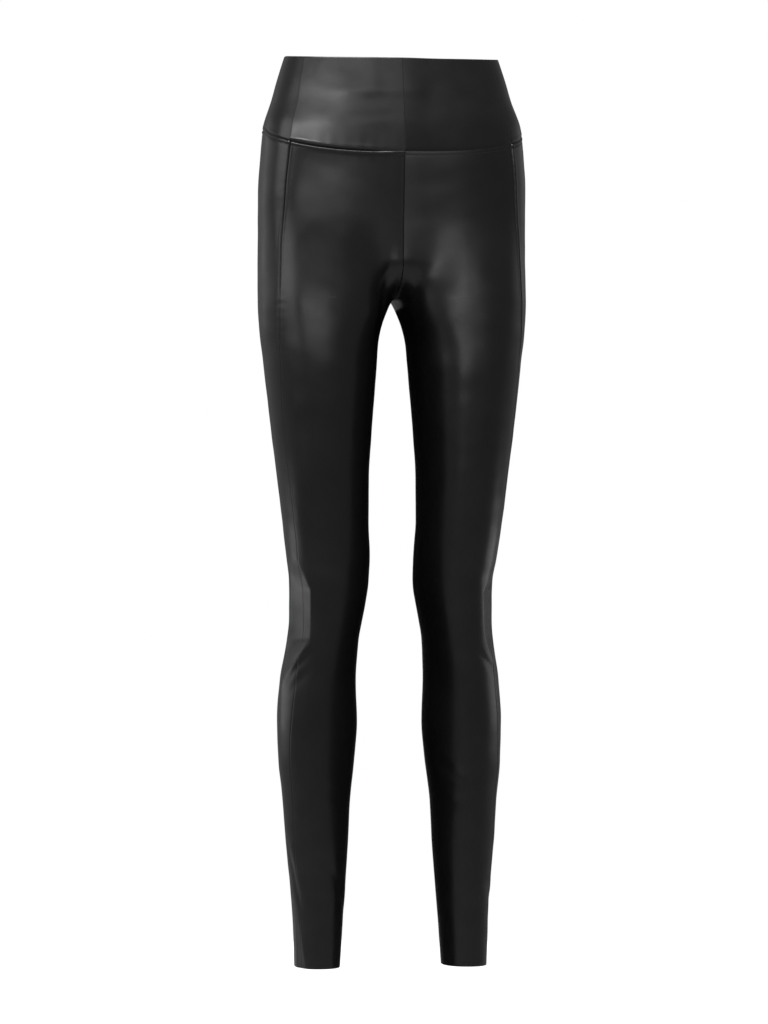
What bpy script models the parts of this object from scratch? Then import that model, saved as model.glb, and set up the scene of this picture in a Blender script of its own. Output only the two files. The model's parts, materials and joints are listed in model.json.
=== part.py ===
"""High-waisted faux leather leggings, filled out and hanging from the waist.

The garment keeps the hollow form of a general figure: a contoured waistband over
two legs, each leg cut as a front and a back panel that meet at a forward outseam
and at the inseam. Both halves come from one surface, a function of the height z and
of a place f around the half: -1 is the centre front (the inseam below the crotch),
0 the widest point of the outer side and +1 the centre back (the inseam again).

Frame: +Z up, the front faces -Y, the wearer's left is +X. The origin is the centre
of the waist opening. Sizes are in millimetres up to the last step.
"""

import math
from dataclasses import dataclass

import bpy
import numpy as np

MM = 0.001                 # metres in a millimetre

# Driving dimensions, in millimetres
GARMENT_LENGTH = 1015.0    # top edge to hem
WALL = 1.6                 # thickness of the coated cloth with its backing
SEAM_GAP = 0.3             # between two panels at a seam
CROTCH_LEVEL = -272.0      # lowest point of the crotch curve
FRONT_RISE_CURVE = 44.0    # height over which the front rise turns under
BACK_RISE_CURVE = 92.0     # the same for the back rise
TOP_EDGE_SLOPE = 0.092     # the top edge falls this much per millimetre forward
YOKE_SIDE = -81.5          # lower seam of the waistband at the side
YOKE_FRONT_DROP = 30.5     # how much lower that seam lies at the centre front
YOKE_BACK_DROP = 11.0      # and at the centre back
YOKE_PEAK_ROUNDING = 0.04  # in f, rounds the seam's peak over the side
LEVEL_ROW = -165.0         # from here down every row of the mesh is level
HIP_TURNS_TO_THIGH = (-150.0, CROTCH_LEVEL)
NEAR_CENTRE = (0.62, 1.0)  # in f, where that turn follows the crotch curve instead
ARCH_ENDS = (20.0, 70.0)   # below the crotch, where the round arch turns to the leg's side
ARCH_WIDENING = 7.5        # square of its half width, per millimetre below the crotch
INNER_POWER = 2.15         # of a leg's section on the inner side
EVEN_BELOW = 260.0         # below the crotch, length over which the columns even out
OUTSEAM_NEAR = -0.3        # the outseam's place in f, roughly

# Hip and waist: full sections, each a superellipse about the side point
TORSO = (
    # z, half width, centre front, centre back, side point, front and back power
    (20.0,    113.0,  -60.0,  68.0,  2.0, 2.5, 2.3),
    (0.0,     119.7,  -64.0,  72.0,  2.0, 2.6, 2.3),
    (-25.0,   127.6,  -70.0,  77.0,  1.0, 2.7, 2.3),
    (-50.0,   134.6,  -75.0,  83.0,  0.0, 2.8, 2.3),
    (-81.5,   144.2,  -80.0,  94.0, -2.0, 3.0, 2.3),
    (-110.0,  146.6,  -82.0, 103.0, -4.0, 3.1, 2.3),
    (-150.0,  149.0,  -79.0, 113.0, -5.0, 3.1, 2.4),
    (-190.0,  149.3,  -76.0, 117.0, -5.0, 3.0, 2.4),
    (-230.0,  149.9,  -75.0, 112.0, -5.0, 2.9, 2.4),
    (-272.0,  149.4,  -75.0,  98.0, -5.0, 2.7, 2.3),
)
TORSO_COLUMNS = ("z", "side", "front", "back", "side_y", "front_power", "back_power")

# Leg: closed sections of the wearer's left leg
LEG = (
    # z, outer x, inner x, front, back, side point, front and back power
    (-150.0,  149.0,   0.0,  -80.0, 112.0, -5.0, 2.6, 2.3),
    (-230.0,  149.9,   0.0,  -81.0,  98.0, -5.0, 2.5, 2.3),
    (-272.0,  149.6,   7.0,  -83.0,  88.0, -5.0, 2.5, 2.3),
    (-300.0,  147.8,  15.5,  -85.0,  81.0, -5.0, 2.4, 2.2),
    (-340.0,  144.1,  19.3,  -86.0,  74.0, -6.0, 2.3, 2.2),
    (-383.0,  139.7,  22.8,  -83.0,  69.0, -7.0, 2.2, 2.1),
    (-428.0,  134.4,  26.2,  -78.0,  64.0, -8.0, 2.2, 2.1),
    (-472.0,  128.9,  28.6,  -73.0,  60.0, -8.0, 2.2, 2.1),
    (-517.0,  123.4,  28.6,  -67.0,  57.0, -8.0, 2.2, 2.1),
    (-562.0,  117.5,  26.4,  -60.0,  57.0, -3.0, 2.2, 2.1),
    (-584.0,  114.2,  26.7,  -56.0,  58.0,  2.0, 2.2, 2.1),
    (-607.0,  113.6,  29.6,  -53.0,  59.0,  3.0, 2.2, 2.1),
    (-629.0,  113.8,  33.9,  -50.0,  60.0,  3.0, 2.2, 2.1),
    (-651.0,  115.9,  37.6,  -48.0,  62.0,  4.0, 2.1, 2.1),
    (-696.0,  123.4,  39.8,  -44.0,  66.0,  9.0, 2.0, 2.1),
    (-741.0,  126.5,  38.3,  -42.0,  67.0,  9.0, 2.0, 2.1),
    (-785.0,  125.2,  41.6,  -40.0,  62.0,  8.0, 2.0, 2.1),
    (-830.0,  120.8,  46.7,  -38.0,  54.0,  6.0, 2.0, 2.1),
    (-875.0,  117.7,  48.8,  -36.0,  48.0,  6.0, 2.1, 2.1),
    (-920.0,  113.2,  51.9,  -34.0,  43.0,  5.0, 2.2, 2.2),
    (-964.0,  109.9,  55.2,  -33.0,  41.0,  3.0, 2.3, 2.3),
    (-1015.0, 107.9,  58.8,  -33.0,  40.0,  2.0, 2.4, 2.4),
)
LEG_COLUMNS = ("z", "side", "inner", "front", "back", "side_y", "front_power", "back_power")

# Outseam: how far the seam lies forward of the side point, along the cloth
OUTSEAM = (
    # z, forward
    (0.0,     46.0),
    (-90.0,   60.0),
    (-150.0,  54.0),
    (-210.0,  49.0),
    (-270.0,  51.0),
    (-330.0,  49.0),
    (-400.0,  40.0),
    (-500.0,  34.0),
    (-600.0,  32.0),
    (-700.0,  37.0),
    (-780.0,  29.0),
    (-900.0,  23.0),
    (-1015.0, 20.0),
)
OUTSEAM_COLUMNS = ("z", "forward")

# Rows of the mesh, as heights below the crotch and along the leg
ROWS_NEAR_CROTCH_DEG = (90, 70, 52, 36, 22, 10, 0)      # along the front rise curve
ROWS_UNDER_CROTCH = (1.5, 5.0, 11.0, 20.0, 33.0, 50.0, 72.0)
LEG_ROW_STEP = 24.0
KNEE_ROWS = (-560.0, -700.0)                            # heights with closer rows
KNEE_ROW_STEP = 11.0

FRONT_COLUMNS = 12         # quads across a front panel
BACK_COLUMNS = 14
WAISTBAND_ROWS = 6
UPPER_HIP_ROWS = 4
LOWER_HIP_ROWS = 4
SECTION_SAMPLES = 160      # points on a quarter section, for its arc length
SHARP_EDGE_DEG = 40.0

BLACK = (0.012, 0.012, 0.013, 1.0)
ROUGHNESS = 0.36


@dataclass(frozen=True)
class Fold:
    """A soft crease: a trough where depth is positive, a ridge where negative."""

    half: int              # -1 the wearer's right half, +1 the left
    z: float               # height of its middle
    around: float          # its middle in f
    length: float
    width: float
    depth: float
    tilt: float            # degrees, 0 runs round the leg, 90 runs along it


FOLDS = (
    # half, z, around, length, width, depth, tilt
    # Outer side of the knee and calf, as they hang
    Fold(-1, -668.0, -0.20, 60.0, 10.0, 2.6, 48.0),
    Fold(-1, -612.0, -0.13, 80.0, 12.0, -1.5, 84.0),
    Fold(-1, -694.0, -0.14, 44.0, 10.0, 1.3, 50.0),
    Fold(+1, -672.0, -0.10, 42.0, 10.0, 1.9, -52.0),
    Fold(+1, -798.0, -0.72, 48.0, 13.0, 1.8, 35.0),
    # Ankles, where the hem's slack gathers
    Fold(-1, -908.0, -0.16, 74.0, 13.0, 1.7, 62.0),
    Fold(-1, -940.0, -0.75, 66.0, 13.0, 1.9, -55.0),
    Fold(+1, -934.0, -0.16, 44.0, 13.0, 1.7, -50.0),
    Fold(-1, -926.0, 0.52, 50.0, 13.0, 1.7, 14.0),
    Fold(+1, -918.0, 0.46, 54.0, 13.0, 1.6, -12.0),
    # Hollows of the knees
    Fold(-1, -600.0, 0.55, 84.0, 10.0, 3.0, 9.0),
    Fold(-1, -632.0, 0.62, 60.0, 9.0, 2.3, -12.0),
    Fold(+1, -606.0, 0.58, 78.0, 10.0, 3.0, -7.0),
    Fold(+1, -640.0, 0.50, 66.0, 9.0, 2.2, 11.0),
    Fold(+1, -574.0, 0.62, 50.0, 9.0, 1.6, -14.0),
    # Under the seat
    Fold(-1, -292.0, 0.55, 76.0, 14.0, 2.2, -14.0),
    Fold(+1, -296.0, 0.58, 70.0, 14.0, 2.0, 12.0),
)


def smoothstep(low, high, value):
    """Ease from 0 at low to 1 at high; low may lie above high."""
    t = np.clip((value - low) / (high - low), 0.0, 1.0)
    return t * t * (3.0 - 2.0 * t)


class Profile:
    """A table read as smooth columns of z, without overshoot between its rows."""

    def __init__(self, rows, columns):
        table = np.array(sorted(rows), dtype=float)
        self.z = table[:, 0]
        self.values = {name: table[:, i] for i, name in enumerate(columns)}
        self.slopes = {name: self.monotone_slopes(column)
                       for name, column in self.values.items()}

    def monotone_slopes(self, column):
        """Slopes at the rows: the harmonic mean of the two sides, or none at a peak."""
        step = np.diff(self.z)
        rise = np.diff(column) / step
        slopes = np.empty_like(column)
        slopes[0], slopes[-1] = rise[0], rise[-1]
        before, after = rise[:-1], rise[1:]
        same_way = before * after > 0.0
        total = np.where(same_way, before + after, 1.0)
        slopes[1:-1] = np.where(same_way, 2.0 * before * after / total, 0.0)
        return slopes

    def at(self, name, z):
        """The column's value at height z."""
        z = min(max(z, self.z[0]), self.z[-1])
        i = min(int(np.searchsorted(self.z, z, side="right")) - 1, len(self.z) - 2)
        step = self.z[i + 1] - self.z[i]
        t = (z - self.z[i]) / step
        column, slopes = self.values[name], self.slopes[name]
        return (column[i] * (1 + 2 * t) * (1 - t) ** 2
                + slopes[i] * step * t * (1 - t) ** 2
                + column[i + 1] * t * t * (3 - 2 * t)
                + slopes[i + 1] * step * t * t * (t - 1))


torso = Profile(TORSO, TORSO_COLUMNS)
leg = Profile(LEG, LEG_COLUMNS)
outseam = Profile(OUTSEAM, OUTSEAM_COLUMNS)


def arc_lengths(points):
    """Distance along a polyline at each of its points."""
    steps = np.hypot(*np.diff(points, axis=0).T)
    return np.concatenate(([0.0], np.cumsum(steps)))


def at_length(points, lengths, s):
    """The polyline's point at distance s along it."""
    return np.array([np.interp(s, lengths, points[:, 0]),
                     np.interp(s, lengths, points[:, 1])])


def oval(side, middle, depth, side_y, powers):
    """Superellipse quarters from the side point on, one for each power."""
    turn = np.linspace(0.0, math.pi / 2.0, SECTION_SAMPLES)
    quarters = []
    for i, power in enumerate(powers):
        angle = turn + i * math.pi / 2.0
        cosine, sine = np.cos(angle), np.abs(np.sin(angle))
        x = middle + (side - middle) * np.sign(cosine) * np.abs(cosine) ** (2.0 / power)
        y = side_y + depth * sine ** (2.0 / power)
        quarters.append(np.column_stack([x, y])[min(i, 1):])
    return np.concatenate(quarters)


def torso_curve(z, end):
    """Half a hip section, from the side point to the centre line (end is -1 or +1)."""
    side_y = torso.at("side_y", z)
    reach, power = ("front", "front_power") if end < 0 else ("back", "back_power")
    return oval(torso.at("side", z), 0.0, torso.at(reach, z) - side_y, side_y,
                (torso.at(power, z),))


def leg_curve(z, end):
    """Half a leg section, from the side point to the inseam, and its uncut length.

    Under the crotch the two legs part in a round arch; above it each oval is cut
    where it meets the centre plane.
    """
    under = CROTCH_LEVEL - z
    side, side_y = leg.at("side", z), leg.at("side_y", z)
    inner = leg.at("inner", z) * smoothstep(0.0, ARCH_ENDS[1], under)
    arch = ARCH_WIDENING * under * (1.0 - smoothstep(*ARCH_ENDS, under))
    reach, power = ("front", "front_power") if end < 0 else ("back", "back_power")
    curve = oval(side, (side + inner) / 2.0, leg.at(reach, z) - side_y, side_y,
                 (leg.at(power, z), INNER_POWER))
    whole_length = arc_lengths(curve)[-1]
    squares = curve[:, 0] ** 2 + arch
    if squares[-1] < 0.0:
        last = int(np.argmax(squares < 0.0))
        part = squares[last - 1] / (squares[last - 1] - squares[last])
        cut_y = curve[last - 1, 1] + part * (curve[last, 1] - curve[last - 1, 1])
        curve, squares = curve[:last + 1], squares[:last + 1]
        curve[-1, 1], squares[-1] = cut_y, 0.0
    return np.column_stack([np.sqrt(np.maximum(squares, 0.0)), curve[:, 1]]), whole_length


def shared_length(z, end):
    """Length by which f is measured near the side point, alike on hip and leg."""
    hip = arc_lengths(torso_curve(z, end))[-1]
    whole_length = leg_curve(z, end)[1]
    even = smoothstep(CROTCH_LEVEL, CROTCH_LEVEL - EVEN_BELOW, z)
    return hip + (whole_length - hip) * even


def section_point(z, f):
    """The surface's point at height z and place f, before folds: (x, y)."""
    end, part = (-1 if f < 0 else 1), abs(f)
    hip_curve = torso_curve(z, end)
    hip_lengths = arc_lengths(hip_curve)
    hip_point = at_length(hip_curve, hip_lengths, part * hip_lengths[-1])
    if z > HIP_TURNS_TO_THIGH[0]:
        return hip_point

    thigh_curve, whole_length = leg_curve(z, end)
    thigh_lengths = arc_lengths(thigh_curve)
    shared = shared_length(z, end)
    # The third power wraps the leg's longer section inward, and the sixth takes back
    # what the centre plane cuts off its end
    s = (shared * part + (whole_length - shared) * part ** 3
         - (whole_length - thigh_lengths[-1]) * part ** 6)
    thigh_point = at_length(thigh_curve, thigh_lengths, s)
    rise_curve = FRONT_RISE_CURVE if end < 0 else BACK_RISE_CURVE
    at_centre = smoothstep(CROTCH_LEVEL + rise_curve, CROTCH_LEVEL, z)
    at_side = smoothstep(*HIP_TURNS_TO_THIGH, z)
    weight = at_side + (at_centre - at_side) * smoothstep(*NEAR_CENTRE, part)
    return hip_point + weight * (thigh_point - hip_point)


def outseam_f(z):
    """The outseam's place around the half at height z."""
    return -outseam.at("forward", z) / shared_length(z, -1)


def top_z(f):
    """Height of the waistband's top edge: level at the back, falling to the front."""
    return TOP_EDGE_SLOPE * min(section_point(0.0, f)[1], 0.0)


def yoke_z(f):
    """Height of the waistband's lower seam."""
    rounded = math.hypot(f, YOKE_PEAK_ROUNDING) - YOKE_PEAK_ROUNDING
    share = rounded / (math.hypot(1.0, YOKE_PEAK_ROUNDING) - YOKE_PEAK_ROUNDING)
    drop = YOKE_FRONT_DROP if f < 0 else YOKE_BACK_DROP
    return YOKE_SIDE - drop * math.sin(share * math.pi / 2.0)


def row_heights():
    """One function of f for each row, top to bottom, and the index of the first leg row."""
    def between(high, low, t):
        return lambda f: high(f) + (low(f) - high(f)) * t

    def level(z):
        return lambda f: z

    def beside_yoke(rise):
        return lambda f: yoke_z(f) + rise

    rows = [between(top_z, beside_yoke(SEAM_GAP / 2), i / WAISTBAND_ROWS)
            for i in range(WAISTBAND_ROWS + 1)]
    first_leg_row = len(rows)
    rows += [between(beside_yoke(-SEAM_GAP / 2), level(LEVEL_ROW), i / UPPER_HIP_ROWS)
             for i in range(UPPER_HIP_ROWS + 1)]
    curve_height = CROTCH_LEVEL + FRONT_RISE_CURVE - LEVEL_ROW
    rows += [level(LEVEL_ROW + curve_height * i / LOWER_HIP_ROWS)
             for i in range(1, LOWER_HIP_ROWS)]
    rows += [level(CROTCH_LEVEL + FRONT_RISE_CURVE * (1 - math.cos(math.radians(a))))
             for a in ROWS_NEAR_CROTCH_DEG]
    rows += [level(CROTCH_LEVEL - under) for under in ROWS_UNDER_CROTCH]
    z = CROTCH_LEVEL - ROWS_UNDER_CROTCH[-1]
    for low, step in ((KNEE_ROWS[0], LEG_ROW_STEP), (KNEE_ROWS[1], KNEE_ROW_STEP),
                      (-GARMENT_LENGTH, LEG_ROW_STEP)):
        count = math.ceil((z - low) / step)
        rows += [level(z + (low - z) * i / count) for i in range(1, count + 1)]
        z = low
    return rows, first_leg_row


def girth_at(z):
    """Girth of a leg below the crotch, or of half the hips above it."""
    if z < CROTCH_LEVEL:
        return sum(leg_curve(z, end)[1] for end in (-1, 1))
    return sum(arc_lengths(torso_curve(z, end))[-1] for end in (-1, 1))


def fold_offset(z, f, half):
    """How far the folds press the surface in at a place."""
    offset = 0.0
    for fold in FOLDS:
        if half != fold.half:
            continue
        round_leg = (f - fold.around) * FOLD_GIRTHS[fold] / 2.0
        up = z - fold.z
        angle = math.radians(fold.tilt)
        along = round_leg * math.cos(angle) + up * math.sin(angle)
        across = up * math.cos(angle) - round_leg * math.sin(angle)
        fade = math.exp(-(2.0 * along / fold.length) ** 4)
        offset += fold.depth * fade * math.exp(-(across / fold.width) ** 2)
    return offset


FOLD_GIRTHS = {fold: girth_at(fold.z) for fold in FOLDS}


def half_surface(half):
    """One half's outer surface as grids of points and normals, and its first leg row."""
    rows, first_leg_row = row_heights()
    places = []
    for height in rows:
        seam = outseam_f(height(OUTSEAM_NEAR))
        front = np.linspace(-1.0, seam, FRONT_COLUMNS + 1)
        back = np.linspace(seam, 1.0, BACK_COLUMNS + 1)
        places.append([(height(f), f) for f in np.concatenate([front, back])])
    points = np.array([[(*section_point(z, f), z) for z, f in row] for row in places])
    pressed = np.array([[fold_offset(z, f, half) for z, f in row] for row in places])
    points -= surface_normals(points) * pressed[..., None]
    return points, surface_normals(points), first_leg_row


def surface_normals(points):
    """Outward unit normals at the grid's points, shared across every seam."""
    across = points[:-1, 1:] - points[1:, :-1]
    down = points[1:, 1:] - points[:-1, :-1]
    faces = np.cross(down, across)
    total = np.zeros_like(points)
    for rows in (slice(None, -1), slice(1, None)):
        for columns in (slice(None, -1), slice(1, None)):
            total[rows, columns] += faces
    # The outseam's column is doubled: both of its copies get the same normal
    seam = FRONT_COLUMNS
    total[:, seam] = total[:, seam + 1] = total[:, seam] + total[:, seam + 1]
    # The centre line mirrors onto the other half, and the inseam closes the leg
    above = points[:, 0, 2] > CROTCH_LEVEL
    total[above, 0, 0] = total[above, -1, 0] = 0.0
    total[~above, 0] = total[~above, -1] = total[~above, 0] + total[~above, -1]
    return total / np.linalg.norm(total, axis=-1, keepdims=True)


def wall_sides(points, normals, meets_centre):
    """Outer and inner side of a panel's wall, its seam edges half a gap back."""
    outer = points.copy()
    for edge, inside in ((0, 1), (-1, -2)):
        along = points[:, inside] - points[:, edge]
        length = np.linalg.norm(along, axis=-1, keepdims=True)
        outer[:, edge] += along / length * SEAM_GAP / 2
    inner = outer - normals * WALL
    if meets_centre:
        for side in (outer, inner):
            side[..., 0] = np.maximum(side[..., 0], SEAM_GAP / 2)
    return outer, inner


def make_panel(name, outer, inner, mirrored=False):
    """A closed mesh object from the two sides of a wall."""
    rows, columns = outer.shape[:2]
    verts = np.concatenate([outer.reshape(-1, 3), inner.reshape(-1, 3)])
    size = rows * columns
    index = np.arange(size).reshape(rows, columns)
    faces = []
    for i in range(rows - 1):
        for j in range(columns - 1):
            a, b = index[i, j], index[i, j + 1]
            d, c = index[i + 1, j], index[i + 1, j + 1]
            faces.append((a, d, c, b))
            faces.append((a + size, b + size, c + size, d + size))
    border = np.concatenate([index[0, :], index[1:, -1], index[-1, -2::-1],
                             index[-2:0:-1, 0]])
    faces += [(a, b, b + size, a + size) for a, b in zip(border, np.roll(border, -1))]
    if mirrored:
        verts[:, 0] *= -1.0
        faces = [face[::-1] for face in faces]
    mesh = bpy.data.meshes.new(name)
    mesh.from_pydata((verts * MM).tolist(), [], [[int(v) for v in f] for f in faces])
    mesh.shade_smooth()
    mesh.set_sharp_from_angle(angle=math.radians(SHARP_EDGE_DEG))
    mesh.materials.append(faux_leather(name))
    obj = bpy.data.objects.new(name, mesh)
    bpy.context.collection.objects.link(obj)
    return obj


def faux_leather(name):
    """Near-black coated cloth with a satin gloss."""
    material = bpy.data.materials.new(name)
    material.use_nodes = True
    shader = material.node_tree.nodes["Principled BSDF"]
    shader.inputs["Base Color"].default_value = BLACK
    shader.inputs["Roughness"].default_value = ROUGHNESS
    shader.inputs["Metallic"].default_value = 0.0
    return material


def make_half(name, half):
    """The leg panels and the front of the waistband on one side; returns its surface."""
    points, normals, leg_row = half_surface(half)
    seam = FRONT_COLUMNS
    band, legs = slice(0, leg_row), slice(leg_row, None)
    front, back = slice(0, seam + 1), slice(seam + 1, None)
    pieces = (("waistband_front", band, front), ("leg_front", legs, front),
              ("leg_back", legs, back))
    for piece, rows, columns in pieces:
        outer, inner = wall_sides(points[rows, columns], normals[rows, columns], True)
        make_panel(f"{piece}_{name}", outer, inner, mirrored=half < 0)
    return points[band, back], normals[band, back]


def make_waistband_back(left, right):
    """The back of the waistband, in one piece round the centre back."""
    mirror = np.array([-1.0, 1.0, 1.0])
    points, normals = (
        np.concatenate([of_left, (of_right * mirror)[:, -2::-1]], axis=1)
        for of_left, of_right in zip(left, right))
    make_panel("waistband_back", *wall_sides(points, normals, False))


def main():
    for obj in list(bpy.data.objects):
        bpy.data.objects.remove(obj, do_unlink=True)
    left = make_half("left", 1)
    right = make_half("right", -1)
    make_waistband_back(left, right)


main()
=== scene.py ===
"""High-waisted faux leather leggings, filled out and hanging from the waist.

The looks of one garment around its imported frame: seven panels of coated stretch cloth,
each a thin two-sided shell with its seams, rolls and creases, the topstitching under
the waistband, and a plain pale studio. The garment is worked out in millimetres and
turned to metres as each mesh is made. +Z is up, the front faces -Y and the wearer's
left is +X.

Both halves of the garment come from one surface, a function of the height z and of a
place f around the half: -1 is the centre front (the inseam below the crotch), 0 the
widest point of the outer side and +1 the centre back (the inseam again).
"""

from __future__ import annotations

import json
import logging
import math
from collections.abc import Sequence
from dataclasses import dataclass, field
from enum import Enum
from typing import Any, ClassVar, NamedTuple

import bpy
import numpy as np
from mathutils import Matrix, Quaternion, Vector

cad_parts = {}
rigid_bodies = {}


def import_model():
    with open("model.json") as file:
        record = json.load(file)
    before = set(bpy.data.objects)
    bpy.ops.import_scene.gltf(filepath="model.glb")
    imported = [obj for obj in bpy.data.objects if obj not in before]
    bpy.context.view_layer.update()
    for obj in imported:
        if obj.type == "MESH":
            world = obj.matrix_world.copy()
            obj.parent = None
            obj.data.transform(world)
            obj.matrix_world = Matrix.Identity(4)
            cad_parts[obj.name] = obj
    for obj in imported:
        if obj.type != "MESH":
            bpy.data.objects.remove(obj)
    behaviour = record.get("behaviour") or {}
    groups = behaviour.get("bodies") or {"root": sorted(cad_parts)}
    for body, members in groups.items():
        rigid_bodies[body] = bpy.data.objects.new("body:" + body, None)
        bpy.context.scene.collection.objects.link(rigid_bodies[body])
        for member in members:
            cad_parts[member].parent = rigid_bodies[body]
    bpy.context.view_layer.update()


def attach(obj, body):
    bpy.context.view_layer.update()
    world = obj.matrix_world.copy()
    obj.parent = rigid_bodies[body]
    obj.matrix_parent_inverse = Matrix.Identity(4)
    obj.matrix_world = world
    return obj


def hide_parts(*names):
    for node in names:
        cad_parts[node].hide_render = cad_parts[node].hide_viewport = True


Array = np.ndarray
MM = 0.001
# The scale at which Blender's wave texture repeats about once a metre
WAVE_SCALE = 0.314
log = logging.getLogger("leggings")


class Side(Enum):
    """The wearer's side; its value is the sign of x."""

    RIGHT = -1
    LEFT = 1

    @property
    def turn(self) -> Array:
        """What turns a point of the wearer's left half over to this side."""
        return np.array([self.value, 1.0, 1.0])


class End(Enum):
    """Which way a half section is followed from the side point."""

    FRONT = -1
    BACK = 1


# ---------------------------------------------------------------- form of the garment


class HipSection(NamedTuple):
    """A level section of the hips, a superellipse about its side point."""

    z: float
    side: float
    front: float
    back: float
    side_y: float
    front_power: float
    back_power: float


class LegSection(NamedTuple):
    """A level section of the wearer's left leg, closed round its two side points."""

    z: float
    side: float
    inner: float
    front: float
    back: float
    side_y: float
    front_power: float
    back_power: float


class SeamPlace(NamedTuple):
    """How far forward of the side point the outseam lies, along the cloth."""

    z: float
    forward: float


HIP_SECTIONS = tuple(HipSection(*row) for row in (
    (20.0, 113.0, -60.0, 68.0, 2.0, 2.5, 2.3),
    (0.0, 119.7, -64.0, 72.0, 2.0, 2.6, 2.3),
    (-25.0, 127.6, -70.0, 77.0, 1.0, 2.7, 2.3),
    (-50.0, 134.6, -75.0, 83.0, 0.0, 2.8, 2.3),
    (-81.5, 144.2, -80.0, 94.0, -2.0, 3.0, 2.3),
    (-110.0, 146.6, -82.0, 103.0, -4.0, 3.1, 2.3),
    (-150.0, 149.0, -79.0, 113.0, -5.0, 3.1, 2.4),
    (-190.0, 149.3, -76.0, 117.0, -5.0, 3.0, 2.4),
    (-230.0, 149.9, -75.0, 112.0, -5.0, 2.9, 2.4),
    (-272.0, 149.4, -75.0, 98.0, -5.0, 2.7, 2.3),
))
LEG_SECTIONS = tuple(LegSection(*row) for row in (
    (-150.0, 149.0, 0.0, -80.0, 112.0, -5.0, 2.6, 2.3),
    (-230.0, 149.9, 0.0, -81.0, 98.0, -5.0, 2.5, 2.3),
    (-272.0, 149.6, 7.0, -83.0, 88.0, -5.0, 2.5, 2.3),
    (-300.0, 147.8, 15.5, -85.0, 81.0, -5.0, 2.4, 2.2),
    (-340.0, 144.1, 19.3, -86.0, 74.0, -6.0, 2.3, 2.2),
    (-383.0, 139.7, 22.8, -83.0, 69.0, -7.0, 2.2, 2.1),
    (-428.0, 134.4, 26.2, -78.0, 64.0, -8.0, 2.2, 2.1),
    (-472.0, 128.9, 28.6, -73.0, 60.0, -8.0, 2.2, 2.1),
    (-517.0, 123.4, 28.6, -67.0, 57.0, -8.0, 2.2, 2.1),
    (-562.0, 117.5, 26.4, -60.0, 57.0, -3.0, 2.2, 2.1),
    (-584.0, 114.2, 26.7, -56.0, 58.0, 2.0, 2.2, 2.1),
    (-607.0, 113.6, 29.6, -53.0, 59.0, 3.0, 2.2, 2.1),
    (-629.0, 113.8, 33.9, -50.0, 60.0, 3.0, 2.2, 2.1),
    (-651.0, 115.9, 37.6, -48.0, 62.0, 4.0, 2.1, 2.1),
    (-696.0, 123.4, 39.8, -44.0, 66.0, 9.0, 2.0, 2.1),
    (-741.0, 126.5, 38.3, -42.0, 67.0, 9.0, 2.0, 2.1),
    (-785.0, 125.2, 41.6, -40.0, 62.0, 8.0, 2.0, 2.1),
    (-830.0, 120.8, 46.7, -38.0, 54.0, 6.0, 2.0, 2.1),
    (-875.0, 117.7, 48.8, -36.0, 48.0, 6.0, 2.1, 2.1),
    (-920.0, 113.2, 51.9, -34.0, 43.0, 5.0, 2.2, 2.2),
    (-964.0, 109.9, 55.2, -33.0, 41.0, 3.0, 2.3, 2.3),
    (-1015.0, 107.9, 58.8, -33.0, 40.0, 2.0, 2.4, 2.4),
))
OUTSEAM_PLACES = tuple(SeamPlace(*row) for row in (
    (0.0, 46.0), (-90.0, 64.0), (-150.0, 58.5), (-210.0, 52.0), (-270.0, 54.0),
    (-330.0, 51.0), (-400.0, 40.0), (-500.0, 34.0), (-600.0, 32.0), (-700.0, 37.0),
    (-780.0, 29.0), (-900.0, 23.0), (-1015.0, 20.0),
))


def smoothstep(low: float, high: float, value: Any) -> Any:
    """Ease a number or an array from 0 at low to 1 at high; low may lie above high."""
    t = np.clip((value - low) / (high - low), 0.0, 1.0)
    return t * t * (3.0 - 2.0 * t)


def arc_lengths(points: Array) -> Array:
    """Distance along a polyline at each of its points."""
    steps = np.linalg.norm(np.diff(points, axis=0), axis=-1)
    return np.concatenate(([0.0], np.cumsum(steps)))


def walk(curve: Array, lengths: Array, distances: Array) -> Array:
    """Points at distances along a curve, given its lengths at its own points."""
    return np.column_stack([np.interp(distances, lengths, column) for column in curve.T])


class Profile:
    """A table of sections read as smooth columns of z, without overshoot."""

    def __init__(self, rows: Sequence[tuple]) -> None:
        """Sort the rows upwards and work out each column's slopes.

        Args:
            rows: Named tuples of one kind, each with its height in z.
        """
        table = np.array(sorted(rows), dtype=float)
        self.z = table[:, 0]
        self.values = {name: table[:, i] for i, name in enumerate(rows[0]._fields)}
        self.slopes = {name: self._slopes(column) for name, column in self.values.items()}

    def _slopes(self, column: Array) -> Array:
        """Slopes at the rows: the harmonic mean of both sides, or none at a peak.

        Args:
            column: A column's value in each row.

        Returns:
            The column's slope in each row.
        """
        rise = np.diff(column) / np.diff(self.z)
        slopes = np.empty_like(column)
        slopes[0], slopes[-1] = rise[0], rise[-1]
        before, after = rise[:-1], rise[1:]
        same_way = before * after > 0.0
        total = np.where(same_way, before + after, 1.0)
        slopes[1:-1] = np.where(same_way, 2.0 * before * after / total, 0.0)
        return slopes

    def at(self, name: str, z: float) -> float:
        """A column's value at a height.

        Args:
            name: The column.
            z: The height, held within the table.

        Returns:
            The value of the smooth curve through the table's rows.
        """
        z = min(max(z, self.z[0]), self.z[-1])
        i = min(int(np.searchsorted(self.z, z, side="right")) - 1, len(self.z) - 2)
        step = self.z[i + 1] - self.z[i]
        t = (z - self.z[i]) / step
        column, slopes = self.values[name], self.slopes[name]
        return float(
            column[i] * (1 + 2 * t) * (1 - t) ** 2
            + slopes[i] * step * t * (1 - t) ** 2
            + column[i + 1] * t * t * (3 - 2 * t)
            + slopes[i + 1] * step * t * t * (t - 1)
        )


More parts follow.
